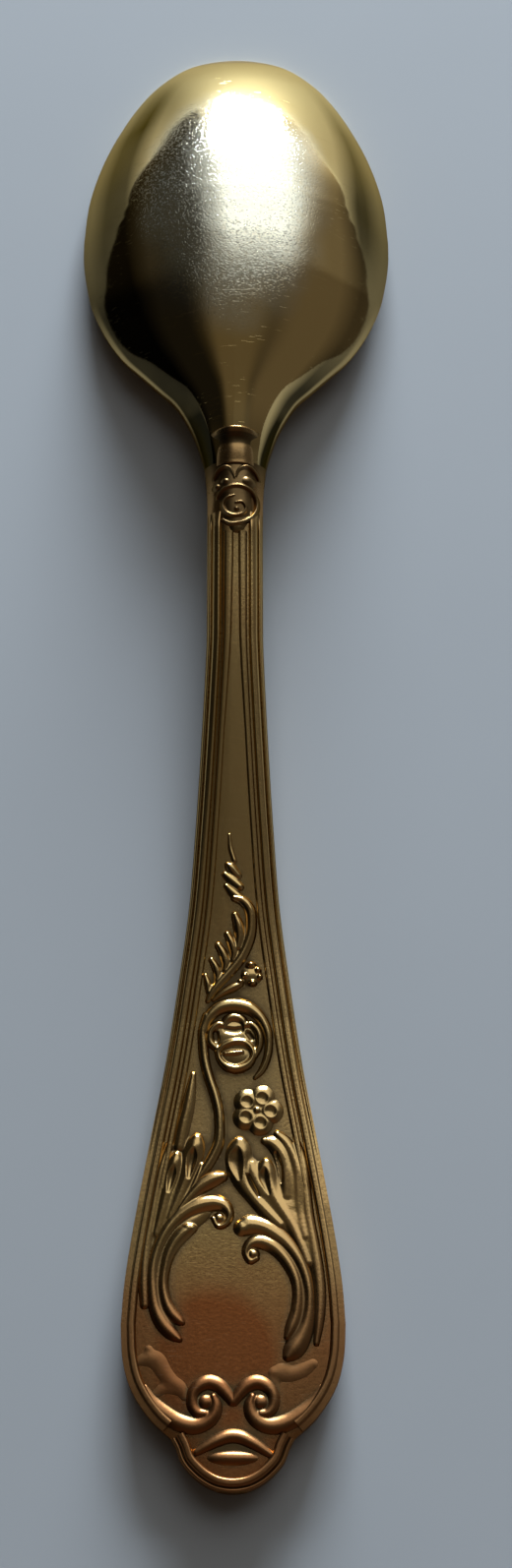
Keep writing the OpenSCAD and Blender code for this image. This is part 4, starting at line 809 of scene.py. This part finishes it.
def gilt_look(slot, colours, raised):
    """Satin gilding, copper-warm toward the handle's end with a painted warm reflection, and painted shade
    in its recesses and at the neck.
    """
    name = slot + ("_relief" if raised else "_ground")
    if name in bpy.data.materials:
        return bpy.data.materials[name]
    look = Look(name)
    place = look.millimetres()
    x, y, z = look.parts(place)
    toward_end = -1 * y
    cloud = look.noise(place, scale=0.16, detail=3.0)
    grain = look.noise(place, scale=3.5, detail=3.0, roughness=0.65)
    brushed = look.noise(look.turned(place, 0, BRUSHED), scale=1.0, detail=2.0)
    marks = (look.scratches(place, angle=12, across=0.5, along=7.0, low=0.72, high=0.76)
             + look.scratches(place, angle=78, across=0.6, along=6.0, low=0.72, high=0.77))

    # Painted warm reflection on the lower handle's ground and near the crest, over the copper toward the
    # end.
    warm_reflection = 1 - look.step(look.away(x, y, *WARM_REFLECTION), 0.5, 1.6)
    far = look.step(toward_end, *LOWER_HANDLE) * 0.15 + look.step(toward_end, *VOLUTES) * 0.6
    warm = ((warm_reflection * 0.45 + look.step(y, *CREST_WARM_REFLECTION) * 0.4) * (0.65 if raised else 1.0)
            + far * (0.9 if raised else 1.0))
    warm = look.clamp(warm + (0.12 if slot == "warm_gilt" else 0.0) + (cloud - 0.5) * 0.5)
    metal = look.mix(warm, colours.gold, colours.copper)

    stain = 1 - look.step(look.away(x, y, *STAIN), 0.4, 1.3)
    # Painted shade in the recesses and at the neck, random tarnish, a dark stain, and darker gilding toward
    # the handle's end.
    tarnish_and_painted_shade = look.clamp(look.step(look.painted_shade(), 0.05, 0.95) * 0.75 + look.step(grain, 0.62, 0.8) * 0.1
                      + stain * (0.14 if raised else 0.46)
                      + look.step(toward_end, *END_DARKER) * (0.56 if raised else 0.32)
                      + look.step(y, *NECK_PAINTED_SHADE) * 0.38)
    metal = look.mix(tarnish_and_painted_shade, metal, colours.tarnish_and_shade)
    metal = look.mix(look.clamp(marks * 0.06), metal, SCRATCH)

    roughness = look.clamp(0.145 + (grain - 0.5) * 0.14 + (brushed - 0.5) * 0.05 + tarnish_and_painted_shade * 0.2
                           + look.step(toward_end, *WORN_END) * (0.05 if raised else 0.0))
    return look.metal(metal, roughness, grain * 0.6 - marks * 0.06, GILT_BUMP)


def bowl_look(colours):
    """Worn gilding: silver-grey and speckled over the crown, gold toward the edges and the neck, with
    painted dark reflection along the edges and painted shade at the neck.
    """
    name = "worn_gilt_metal"
    if name in bpy.data.materials:
        return bpy.data.materials[name]
    look = Look(name)
    place = look.millimetres()
    x, y, z = look.parts(place)
    cloud = look.noise(place, scale=0.12, detail=3.0)
    grain = look.noise(place, scale=2.2, detail=4.0, roughness=0.75)
    speck = look.noise(place, scale=4.5, detail=2.0, roughness=0.7)
    marks = (look.scratches(place, angle=25, across=0.3, along=7.0, low=0.72, high=0.76)
             + look.scratches(place, angle=-40, across=0.35, along=7.0, low=0.72, high=0.76)
             + look.scratches(place, angle=80, across=0.25, along=8.0, low=0.74, high=0.78))

    rubbed = 1 - look.step(look.away(x, y, *RUBBED) + (cloud - 0.5) * 0.9, 0.35, 1.25)
    worn = look.clamp(rubbed + (grain - 0.5) * rubbed * 0.8)
    metal = look.mix(worn, colours.pale_gold, colours.silver)
    pits = look.step(speck, 0.52, 0.7) * rubbed
    metal = look.mix(pits * 0.3, metal, PIT)
    metal = look.mix(look.step(y, *BOWL_TIP) * 0.8, metal, TIP_GOLD)
    # Painted dark reflection along the bowl's edges, and painted shade toward the neck.
    painted_dark = look.painted_shade() * (0.85 + cloud * 0.2) + (1 - look.step(y, *BOWL_NECK)) * 0.5
    metal = look.mix(look.clamp(painted_dark), metal, BOWL_PAINTED_SHADE)

    roughness = look.clamp(0.045 + worn * 0.11 + (grain - 0.5) * 0.08 + pits * 0.08)
    height = grain * (0.06 + rubbed * 0.4) - marks * 0.08 - pits * 0.3
    return look.metal(metal, roughness, height, BOWL_BUMP)


# Pieces

# Points of a ring round one rounded foot and across each back, the rings of each piece, and the
# angles in degrees over which an edge stays sharp.
FOOT_POINTS, BOWL_ACROSS, HOLLOW_ACROSS, STEM_ACROSS, PLATE_ACROSS, LOBE_ACROSS = 5, 141, 71, 61, 111, 81
BOWL_RINGS, STEM_RINGS, PLATE_RINGS, LOBE_RINGS = 170, 110, 330, 60
FRONT_RINGS, BAND_RINGS, BEAD_RINGS, BAND_POINTS, BEAD_POINTS, FRONT_POINTS = 260, 250, 180, 44, 23, 24
BOWL_SHARP, BODY_SHARP, BAND_SHARP = 55, 26, 75

# Bowl rings are closer together toward the tip, and the first is just past it.
RING_POWER, TIP_RING = 1.5, 1e-5

# Radius of the rim's lower edge, the most of a half width that such a radius takes, and the
# painted shade on the stem at the neck.
RIM_ROUND, FOOT_SHARE = 0.22, 0.3
NECK_SHADE, NECK_SHADE_RUN = 0.7, 5

# The bowl's painted dark reflection: stretches from its tip, and bands of its half width, as start and run.
TIP_CLEAR, LOWER_BOWL, LOW_RIM, RIGHT_SHOULDER = (3, 7), (14, 16), (28, 6), (33, 5)
RIM_LINE, RIM_BAND, EDGE_FADE = (0.96, 0.02), (0.86, 0.1), 0.14
WIDEST_MIDDLE, WIDEST_SPREAD = 20, 7
PATCH_X, PATCH_U, PATCH_WIDE, PATCH_LONG, PATCH_STRENGTH = -6.8, 7, 2.3, 4.5, 0.48

# The edge thread and the band: their places over the distance from the edge, and their tops.
BAND_OUTER, THREAD_MIDDLE, THREAD_HALF, BAND_FROM = 0.03, 0.21, 0.19, 0.42
THREAD_SHARE, THREAD_POWER, BAND_POWER = 0.5, 2.4, 4
GROOVE_LEAST, GROOVE_SHARE, GROOVE_RUN = 0.02, 0.6, 16
FRONT_OUTER, FRONT_MIDDLE, FRONT_HALF = 0.2, 0.6, 0.42

# Heights under which a band, a bead and a front band get painted shade, darkest at their feet.
BAND_LOW, BEAD_LOW, FRONT_LOW = 0.14, 0.12, 0.1

# The beads grow wider toward the crest, over a run that ends at this distance from the tip.
BEAD_GROWS_FROM, BEAD_GROWTH_RUN, BEAD_GROWTH_LEFT, BEAD_GROWTH_RIGHT = 72, 16, 0.36, 0.2

# Ends of the bands and beads as shares of the runs they lie on, and how the back bands rise.
BAND_START, BAND_STOP, BEAD_START, BEAD_STOP = 0.74, 0.94, 1.05, 0.36
LOBE_BAND_START, LOBE_BAND_RUN = 0.02, 0.979
BAND_RISE, BAND_RISE_LEAST = 1.5, 0.1

# Room round the drop and the crest on their grids, and the crest's place on the neck.
HEEL_SIDE, HEEL_BEYOND, HEEL_ROOT = 0.5, 0.4, 0.3
CREST_SIDE, CREST_ENDS, CREST_START, CREST_CLEAR = 0.2, 0.5, 0.05, 0.12
# The painted dark band across the drop, its place and spread, and the least painted shade on the drop and
# the crest.
HEEL_DIP, HEEL_DIP_SPREAD, HEEL_SHADE, CREST_SHADE = 0.64, 0.17, 0.3, 0.55


def half_turn(n):
    """Places across a back from -1 to 1, closer together toward its edges."""
    return np.sin(np.linspace(-90, 90, n) * math.pi / 180)


def back_skin(spoon, u, x, edge):
    """Points over the back of the spoon, and round its foot on each side."""
    w, z = spoon.half_w(u), spoon.base(u)
    r = np.minimum(edge, w * FOOT_SHARE)
    turn = np.radians(np.linspace(90, 0, FOOT_POINTS))[None]
    foot, lift = w - r + r * np.cos(turn), r - r * np.sin(turn)
    return [spoon.spot(-foot, u, z + lift), spoon.spot(x, u, spoon.back_z(x, u)),
            spoon.spot(foot[:, ::-1], u, z + lift[:, ::-1])]


def edge_painted_shade(x, u, back):
    """Painted dark reflection along both edges of the bowl's back, and a painted dark patch on its left
    near the tip.
    """
    side, left = np.abs(back), back < 0
    low = ramp(u, *LOWER_BOWL)
    middle = np.exp(-((u - WIDEST_MIDDLE) / WIDEST_SPREAD) ** 2)
    start = np.where(left, 0.6 - 0.04 * low, 0.74 - 0.08 * middle)
    strength = np.where(left, 0.8 + 0.2 * low, 0.62 + 0.36 * middle + 0.36 * ramp(u, *RIGHT_SHOULDER))
    strength = strength * ramp(u, *TIP_CLEAR) * (1 - 0.6 * ramp(side, *RIM_LINE) * ramp(u, *LOW_RIM))
    strength = strength * (1 - 0.5 * ramp(side, *RIM_BAND) * (1 - low))
    patch_at = ((x - PATCH_X) / PATCH_WIDE) ** 2 + ((u - PATCH_U) / PATCH_LONG) ** 2
    return np.clip(ramp(side, start, EDGE_FADE) * strength + PATCH_STRENGTH * np.exp(-patch_at), 0, 1)


def build_bowl(spoon, colours):
    t = np.linspace(0, 1, BOWL_RINGS)[:, None] ** RING_POWER
    t[0] = TIP_RING
    u, back, hollow = t * spoon.bowl_len, half_turn(BOWL_ACROSS)[None], half_turn(HOLLOW_ACROSS)[None]
    w = spoon.half_w(u)
    inner_w = w * (1 - spoon.rim_land / spoon.bowl_w * 2)
    inner = spoon.spot(-inner_w * hollow, spoon.hollow_along(t), spoon.hollow_z(hollow, t))
    rings = np.concatenate([*back_skin(spoon, u, w * back, RIM_ROUND), inner], 1)
    painted_dark = np.zeros(rings.shape[:2])
    painted_dark[:, FOOT_POINTS:FOOT_POINTS + BOWL_ACROSS] = edge_painted_shade(w * back, u, back)
    make_piece("bowl", rings, loft(rings), bowl_look(colours), painted_dark, BOWL_SHARP)


def build_body(spoon, name, u, across, colours):
    """A length of the stem or handle, with painted shade at the neck and beside the ornament."""
    u = u[:, None]
    x = spoon.half_w(u) * half_turn(across)[None]
    rings = np.concatenate(back_skin(spoon, u, x, EDGE_ROUND), 1)
    # Painted shade fading out along the stem from the neck.
    dark = np.zeros(rings.shape[:2]) + NECK_SHADE * (1 - ramp(u, spoon.neck_at, NECK_SHADE_RUN))
    if name != "stem":
        made, shade = back_panel(spoon)
        dark[:, FOOT_POINTS:FOOT_POINTS + across] = made["back_flower"].nearest(shade, x, u)
    gilded_piece(name, rings, loft(rings), colours, dark, raised=False, sharp=BODY_SHARP)


def moulding(spoon, name, path, profile, colours, left=False, front=False):
    """Band swept along the edge, its profile given over the distance from the edge."""
    d = np.gradient(path, axis=0)
    d /= np.linalg.norm(d, axis=1)[:, None]
    inset, height, dark = [np.broadcast_to(row, (len(path), row.shape[-1])) for row in profile]
    inset = np.pad(inset, ((0, 0), (1, 1)), mode="edge")
    height = np.pad(height, ((0, 0), (1, 1)), constant_values=-SINK)
    dark = np.pad(dark, ((0, 0), (1, 1)), constant_values=1)
    x = path[:, :1] - d[:, 1:] * inset
    u = np.minimum(path[:, 1:] + d[:, :1] * inset, spoon.overall_len - NOSE / 5)
    z = spoon.front_z(x, u) - height if front else spoon.back_z(x, u) + height
    rings = spoon.spot(-x if left else x, u, z)
    if left != front:
        rings, dark = rings[:, ::-1], dark[:, ::-1]
    gilded_piece(name, rings, loft(rings), colours, dark, sharp=BAND_SHARP)


def band_profile(spoon, u):
    """The edge thread and the band inside it, with the groove between them filled toward the end."""
    inset = np.linspace(BAND_OUTER, spoon.band_w, BAND_POINTS)
    thread = 1 - np.abs((inset - THREAD_MIDDLE) / THREAD_HALF) ** THREAD_POWER
    middle, half = (BAND_FROM + spoon.band_w) / 2, (spoon.band_w - BAND_FROM) / 2
    band = 1 - np.abs((inset - middle) / half) ** BAND_POWER
    top = np.maximum(THREAD_SHARE * spoon.band_h * thread, spoon.band_h * band)
    filled = GROOVE_LEAST + GROOVE_SHARE * spoon.band_h * ramp(u[:, None], spoon.touch_at, GROOVE_RUN)
    height = np.maximum(top, filled * (inset < middle))
    return inset, height, 1 - ramp(height, 0, BAND_LOW)


def bead_profile(spoon, u, left):
    """The inner bead, which widens toward the crest."""
    start = spoon.band_w + spoon.bead_gap
    growth = BEAD_GROWTH_LEFT if left else BEAD_GROWTH_RIGHT
    wide = spoon.bead_w + growth * ramp(BEAD_GROWS_FROM - u[:, None], 0, BEAD_GROWTH_RUN)
    across = np.linspace(0, 1, BEAD_POINTS)
    height = spoon.bead_h * (1 - np.abs(across * 2 - 1) ** BAND_POWER)
    return start + across * wide, height, 1 - ramp(height, 0, BEAD_LOW)


def front_profile(spoon):
    """The plain band on the edge of the handle's face."""
    width = spoon.front_band_w + EDGE_ROUND
    inset = np.linspace(FRONT_OUTER * width, width, FRONT_POINTS)
    top = 1 - np.abs((inset / width - FRONT_MIDDLE) / FRONT_HALF) ** THREAD_POWER
    height = spoon.front_band_h * top
    return inset, np.maximum(height, 0.0), 1 - ramp(height, 0, FRONT_LOW)


def edge_path(spoon, start, end, steps):
    """Points [x, u] along the right edge."""
    u = np.linspace(start, end, steps)
    return np.stack([spoon.half_w(u), u], -1)


def lobe_path(spoon):
    """Round the end lobe, from one notch to the other."""
    turn = np.linspace(0, math.pi / 2, LOBE_RINGS)
    u = spoon.notch_at + spoon.lobe_len * (LOBE_BAND_START + LOBE_BAND_RUN * np.sin(turn))
    right = np.stack([spoon.half_w(u), u], -1)
    return np.concatenate([right, right[::-1] * [-1, 1]])


def build_bands(spoon, colours):
    """The bands and beads; the back bands rise from under the crest."""
    end = spoon.widest_at + BAND_STOP * spoon.handle_run
    front = edge_path(spoon, spoon.shoulder_at - spoon.neck_run / 2, end, FRONT_RINGS)
    back = edge_path(spoon, spoon.neck_at + BAND_START * spoon.crest_len, end, BAND_RINGS)
    inset, height, dark = band_profile(spoon, back[:, 1])
    height = height * np.clip((back[:, 1:] - back[0, 1]) / BAND_RISE + BAND_RISE_LEAST, 0, 1)
    bead = edge_path(spoon, spoon.neck_at + BEAD_START * spoon.crest_len,
                     spoon.touch_at + BEAD_STOP * spoon.touch_run, BEAD_RINGS)
    for left, word in ((True, "left"), (False, "right")):
        moulding(spoon, "back_band_" + word, back, (inset, height, dark), colours, left)
        moulding(spoon, "back_bead_" + word, bead, bead_profile(spoon, bead[:, 1], left), colours, left)
        moulding(spoon, "front_band_" + word, front, front_profile(spoon), colours, left, front=True)
    around = lobe_path(spoon)
    moulding(spoon, "back_lobe_band", around, band_profile(spoon, around[:, 1] * 0), colours)
    moulding(spoon, "front_lobe_band", around, front_profile(spoon), colours, front=True)


def build_heel(spoon, colours):
    """Raised drop on the heel: a rounded tongue with a steep far end."""
    side = spoon.heel_w / 2 + HEEL_SIDE
    ends = (spoon.neck_at - spoon.heel_len - HEEL_BEYOND, spoon.neck_at + HEEL_ROOT)
    relief = Relief(HEEL_STEP, (-side, side), ends)
    s = (spoon.neck_at - relief.u[None]) / spoon.heel_len
    across = np.abs(relief.x[:, None] / (spoon.heel_w / 2 * curve(s, HEEL_WIDTH)))
    relief.z = np.maximum(spoon.heel_h * (curve(s, HEEL_RISE) - across ** 2), EMPTY)
    # Painted dark reflection as a band across the drop, and painted shade toward its sides.
    dark = np.maximum(np.exp(-((s - HEEL_DIP) / HEEL_DIP_SPREAD) ** 4), np.clip(across * 3 - 2, 0, 1) * 0.7)
    relief_piece(spoon, "heel_drop", relief, np.maximum(dark, HEEL_SHADE), colours)


def build_crest(spoon, colours):
    """The crest over the neck, kept clear of the neck's edges."""
    start = spoon.neck_at + spoon.crest_len * CREST_START
    grid = Grid(spoon.crest_w / CREST_COLUMNS, spoon.crest_len / CREST_ROWS, start)
    side = spoon.crest_w / 2 + CREST_SIDE
    relief = Relief(CREST_STEP, (-side, side), (start - CREST_ENDS, start + spoon.crest_len + CREST_ENDS))
    relief.ornament(grid, spoon.stroke_w / 2, spoon.crest_h, CREST, CREST_BOSSES)
    inside = np.abs(relief.x[:, None]) < spoon.half_w(relief.u[None]) - CREST_CLEAR
    relief.z = np.where(inside, relief.z, EMPTY)
    # Painted shade in the crest's hollows, never less than CREST_SHADE, which damps its highlights.
    shade = np.maximum(relief.shade(radius=6, gain=5), CREST_SHADE)
    relief_piece(spoon, "neck_crest", relief, shade, colours)


def build_back_ornament(spoon, colours, names):
    made, shade = back_panel(spoon)
    for name in names:
        relief_piece(spoon, name, *made[name].cropped(shade), colours)


def build_front_ornament(spoon, colours):
    for name, parts in FRONT_ORNAMENT.items():
        relief = handle_relief(spoon, FRONT_STEP)
        relief.ornament(handle_grid(spoon), spoon.stroke_w, spoon.front_band_h, *parts)
        # Painted shade in the hollows of the front scrolls.
        shade = relief.shade(radius=4, gain=8)
        relief_piece(spoon, name, *relief.cropped(shade), colours, front=True)


# Stage

# Lengths are in metres, the window's power in watts.
TABLE_REACH, TABLE_SIDES = 1.5, 24
WINDOW_WIDE, WINDOW_HIGH, WINDOW_FAR, WINDOW_POWER = 0.62, 0.42, 1.3, 64
WINDOW_TINT = (0.76, 0.88, 1.0)
WINDOW_ASIDE, WINDOW_UP = math.radians(6), math.radians(12.5)
SENSOR, VIEW_ANGLE = 36, math.radians(30.27)
# Place on the table that the camera looks at, its distance from there, and its height angle.
EYE_ACROSS, EYE_AIM, EYE_FAR, EYE_TILT = 0.001897, -0.006505, 0.26, math.radians(70)

# Tones of the room by the side they are on.
ROOM_LOW, ROOM_HIGH, ROOM_BEHIND = (0.03, 0.028, 0.024), (0.095, 0.086, 0.068), (0.12, 0.065, 0.037)
ROOM_LEFT, ROOM_CORNER, ROOM_RIGHT = (0.028, 0.025, 0.018), (0.008, 0.008, 0.008), (0.1, 0.092, 0.08)
DAYLIGHT = (1.2, 1.26, 1.27)

# Ranges of the direction's x, y or z over which each tone, and the daylight, comes in.
HIGH, BEHIND, LEFT, CORNER, CORNER_AHEAD, RIGHT = (
    (0.75, 0.97), (0.2, 0.75), (0.3, 0.6), (0.45, 0.7), (0.15, 0.35), (0.4, 0.85))
DIM_AHEAD, BRIGHT_AHEAD, WINDOW_SIDE, WALL_SIDE, WALL_UP, FAR_SIDE = (
    (-0.05, 0.25), (0.28, 0.33), (-0.04, 0.02), (-0.3, -0.1), (0.25, 0.5), (0.55, 0.8))
WINDOW_SLANT = 0.31


def build_table(colours):
    """The pale table top, faintly clouded."""
    look = Look("table_top")
    cloud = look.noise(look.millimetres(), scale=0.035, detail=4.0)
    top = look.mix(look.clamp((cloud - 0.5) * 0.5 + 0.5), [c * 0.93 for c in colours.table],
                   [min(c * 1.07, 1) for c in colours.table])
    shader = look.out("ShaderNodeBsdfPrincipled", None, {"Base Color": top, "Roughness": 0.75})
    look.node("ShaderNodeOutputMaterial", None, {"Surface": shader})
    mesh = bpy.data.meshes.new("table")
    turns = [k * 2 * math.pi / TABLE_SIDES for k in range(TABLE_SIDES)]
    rim = [(TABLE_REACH * math.cos(turn), TABLE_REACH * math.sin(turn), 0) for turn in turns]
    mesh.from_pydata(rim, [], [list(range(TABLE_SIDES))])
    mesh.materials.append(look.material)
    table = bpy.data.objects.new("table", mesh)
    bpy.context.scene.collection.objects.link(table)


def build_window():
    """Soft daylight from a window beyond the bowl."""
    window = bpy.data.lights.new("window", "AREA")
    window.shape, window.size, window.size_y = "RECTANGLE", WINDOW_WIDE, WINDOW_HIGH
    window.energy, window.color = WINDOW_POWER, WINDOW_TINT
    lamp = bpy.data.objects.new("window", window)
    reach = WINDOW_FAR * math.cos(WINDOW_UP)
    lamp.location = (reach * math.sin(WINDOW_ASIDE), reach * math.cos(WINDOW_ASIDE),
                     WINDOW_FAR * math.sin(WINDOW_UP))
    lamp.rotation_euler = (-(math.pi / 2 - WINDOW_UP), 0, -WINDOW_ASIDE)
    bpy.context.scene.collection.objects.link(lamp)


def build_room():
    """The dim room that the metal reflects, with its daylight beyond the bowl."""
    world = bpy.data.worlds.new("room")
    bpy.context.scene.world = world
    world.use_nodes = True
    sky = Look("room", world.node_tree)
    x, y, z = sky.parts(sky.out("ShaderNodeTexCoord", None, None, "Generated"))
    corner = sky.step(-1 * x, *CORNER) * (1 - sky.step(y, *CORNER_AHEAD))
    tone = ROOM_LOW
    for place, shade in ((sky.step(z, *HIGH), ROOM_HIGH), (sky.step(-1 * y, *BEHIND), ROOM_BEHIND),
                         (sky.step(-1 * x, *LEFT), ROOM_LEFT), (corner, ROOM_CORNER),
                         (sky.step(x, *RIGHT), ROOM_RIGHT)):
        tone = sky.mix(place, tone, shade)
    aslant = x + y * WINDOW_SLANT
    sides = (sky.step(aslant, *WINDOW_SIDE) * 0.68
             + sky.step(aslant, *WALL_SIDE) * sky.step(z, *WALL_UP) * 0.32)
    sides = sides * (1 - 0.94 * sky.step(x, *FAR_SIDE))
    ahead = (sky.step(y, *DIM_AHEAD) * 0.05 + sky.step(y, *BRIGHT_AHEAD) * 0.95) * sides
    tone = sky.mix(ahead, tone, DAYLIGHT)
    light = sky.out("ShaderNodeBackground", None, {"Color": tone, "Strength": 1.0})
    sky.node("ShaderNodeOutputWorld", None, {"Surface": light})


def build_camera():
    """The camera at the photograph's viewing angle."""
    scene = bpy.context.scene
    camera = bpy.data.cameras.new("camera")
    camera.sensor_width = SENSOR
    camera.lens = SENSOR / 2 / math.tan(VIEW_ANGLE / 2)
    camera.clip_start, camera.clip_end = 0.01, 10
    eye = bpy.data.objects.new("camera", camera)
    eye.location = (EYE_ACROSS, EYE_AIM - EYE_FAR * math.cos(EYE_TILT), EYE_FAR * math.sin(EYE_TILT))
    eye.rotation_euler = (math.pi / 2 - EYE_TILT, 0, 0)
    scene.collection.objects.link(eye)
    scene.camera = eye


# Operators

def spoon_and_colours(context):
    return Spoon(context.scene.spoon_sizes), context.scene.spoon_colours


class SPOON_OT_bowl(bpy.types.Operator):
    """Builds the bowl"""
    bl_idname, bl_label = "spoon.bowl", "Bowl"

    def execute(self, context):
        build_bowl(*spoon_and_colours(context))
        return {"FINISHED"}


class SPOON_OT_body(bpy.types.Operator):
    """Builds the stem, the handle plate and the end lobe"""
    bl_idname, bl_label = "spoon.body", "Stem and handle"

    def execute(self, context):
        spoon, colours = spoon_and_colours(context)
        stem = np.linspace(spoon.neck_at, spoon.plate_at, STEM_RINGS)
        plate = np.linspace(spoon.plate_at, spoon.notch_at, PLATE_RINGS)
        lobe = spoon.notch_at + spoon.lobe_len * np.sin(np.linspace(0, math.pi / 2, LOBE_RINGS))
        build_body(spoon, "stem", stem, STEM_ACROSS, colours)
        build_body(spoon, "handle_plate", plate, PLATE_ACROSS, colours)
        build_body(spoon, "end_lobe", lobe, LOBE_ACROSS, colours)
        return {"FINISHED"}


class SPOON_OT_bands(bpy.types.Operator):
    """Builds the bands and beads along the edges"""
    bl_idname, bl_label = "spoon.bands", "Edge bands"

    def execute(self, context):
        build_bands(*spoon_and_colours(context))
        return {"FINISHED"}


class SPOON_OT_neck(bpy.types.Operator):
    """Builds the raised drop on the heel and the crest over the neck"""
    bl_idname, bl_label = "spoon.neck", "Heel drop and crest"

    def execute(self, context):
        spoon, colours = spoon_and_colours(context)
        build_heel(spoon, colours)
        build_crest(spoon, colours)
        return {"FINISHED"}


class SPOON_OT_sprays(bpy.types.Operator):
    """Builds the tendril, leaf spray, bud, ring and flowers"""
    bl_idname, bl_label = "spoon.sprays", "Sprays and flowers"

    def execute(self, context):
        build_back_ornament(*spoon_and_colours(context), [
            "back_tendril", "back_leaf_spray", "back_bud", "back_ring_scroll", "back_ring_flower",
            "back_flower"])
        return {"FINISHED"}


class SPOON_OT_leaves(bpy.types.Operator):
    """Builds the leaves"""
    bl_idname, bl_label = "spoon.leaves", "Leaves"

    def execute(self, context):
        build_back_ornament(*spoon_and_colours(context), ["back_leaves_left", "back_leaves_right"])
        return {"FINISHED"}


class SPOON_OT_scrolls(bpy.types.Operator):
    """Builds the scrolls, sprigs, volutes and the shell on the end lobe"""
    bl_idname, bl_label = "spoon.scrolls", "Scrolls"

    def execute(self, context):
        build_back_ornament(*spoon_and_colours(context), [
            "back_scroll_left", "back_scroll_right", "back_sprig_left", "back_sprig_right",
            "back_volute_left", "back_volute_right", "back_lobe_shell"])
        return {"FINISHED"}


class SPOON_OT_front(bpy.types.Operator):
    """Builds the scrolls on the front"""
    bl_idname, bl_label = "spoon.front", "Front scrolls"

    def execute(self, context):
        build_front_ornament(*spoon_and_colours(context))
        return {"FINISHED"}


class SPOON_OT_stage(bpy.types.Operator):
    """Builds the table, the light and the camera"""
    bl_idname, bl_label = "spoon.stage", "Table, light and camera"

    def execute(self, context):
        context.scene.view_settings.view_transform = "Standard"
        build_table(context.scene.spoon_colours)
        build_window()
        build_room()
        build_camera()
        return {"FINISHED"}


OPERATORS = (SPOON_OT_bowl, SPOON_OT_body, SPOON_OT_bands, SPOON_OT_neck, SPOON_OT_sprays,
             SPOON_OT_leaves, SPOON_OT_scrolls, SPOON_OT_front, SPOON_OT_stage)


class VIEW3D_PT_spoon(bpy.types.Panel):
    """Sizes, colours and build steps of the teaspoon"""
    bl_label, bl_category = "Teaspoon", "Teaspoon"
    bl_space_type, bl_region_type = "VIEW_3D", "UI"

    def draw(self, context):
        layout = self.layout
        for group in (context.scene.spoon_sizes, context.scene.spoon_colours):
            column = layout.column(align=True)
            for key in group.__annotations__:
                column.prop(group, key)
        for operator in OPERATORS:
            layout.operator(operator.bl_idname)


CLASSES = (SpoonSizes, SpoonColours, *OPERATORS, VIEW3D_PT_spoon)


def register():
    for item in CLASSES:
        bpy.utils.register_class(item)
    bpy.types.Scene.spoon_sizes = PointerProperty(type=SpoonSizes)
    bpy.types.Scene.spoon_colours = PointerProperty(type=SpoonColours)


def unregister():
    del bpy.types.Scene.spoon_colours, bpy.types.Scene.spoon_sizes
    for item in reversed(CLASSES):
        bpy.utils.unregister_class(item)


def main():
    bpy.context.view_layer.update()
    register()
    for operator in OPERATORS:
        group, name = operator.bl_idname.split(".")
        getattr(getattr(bpy.ops, group), name)()


if __name__ == "__main__":
    main()
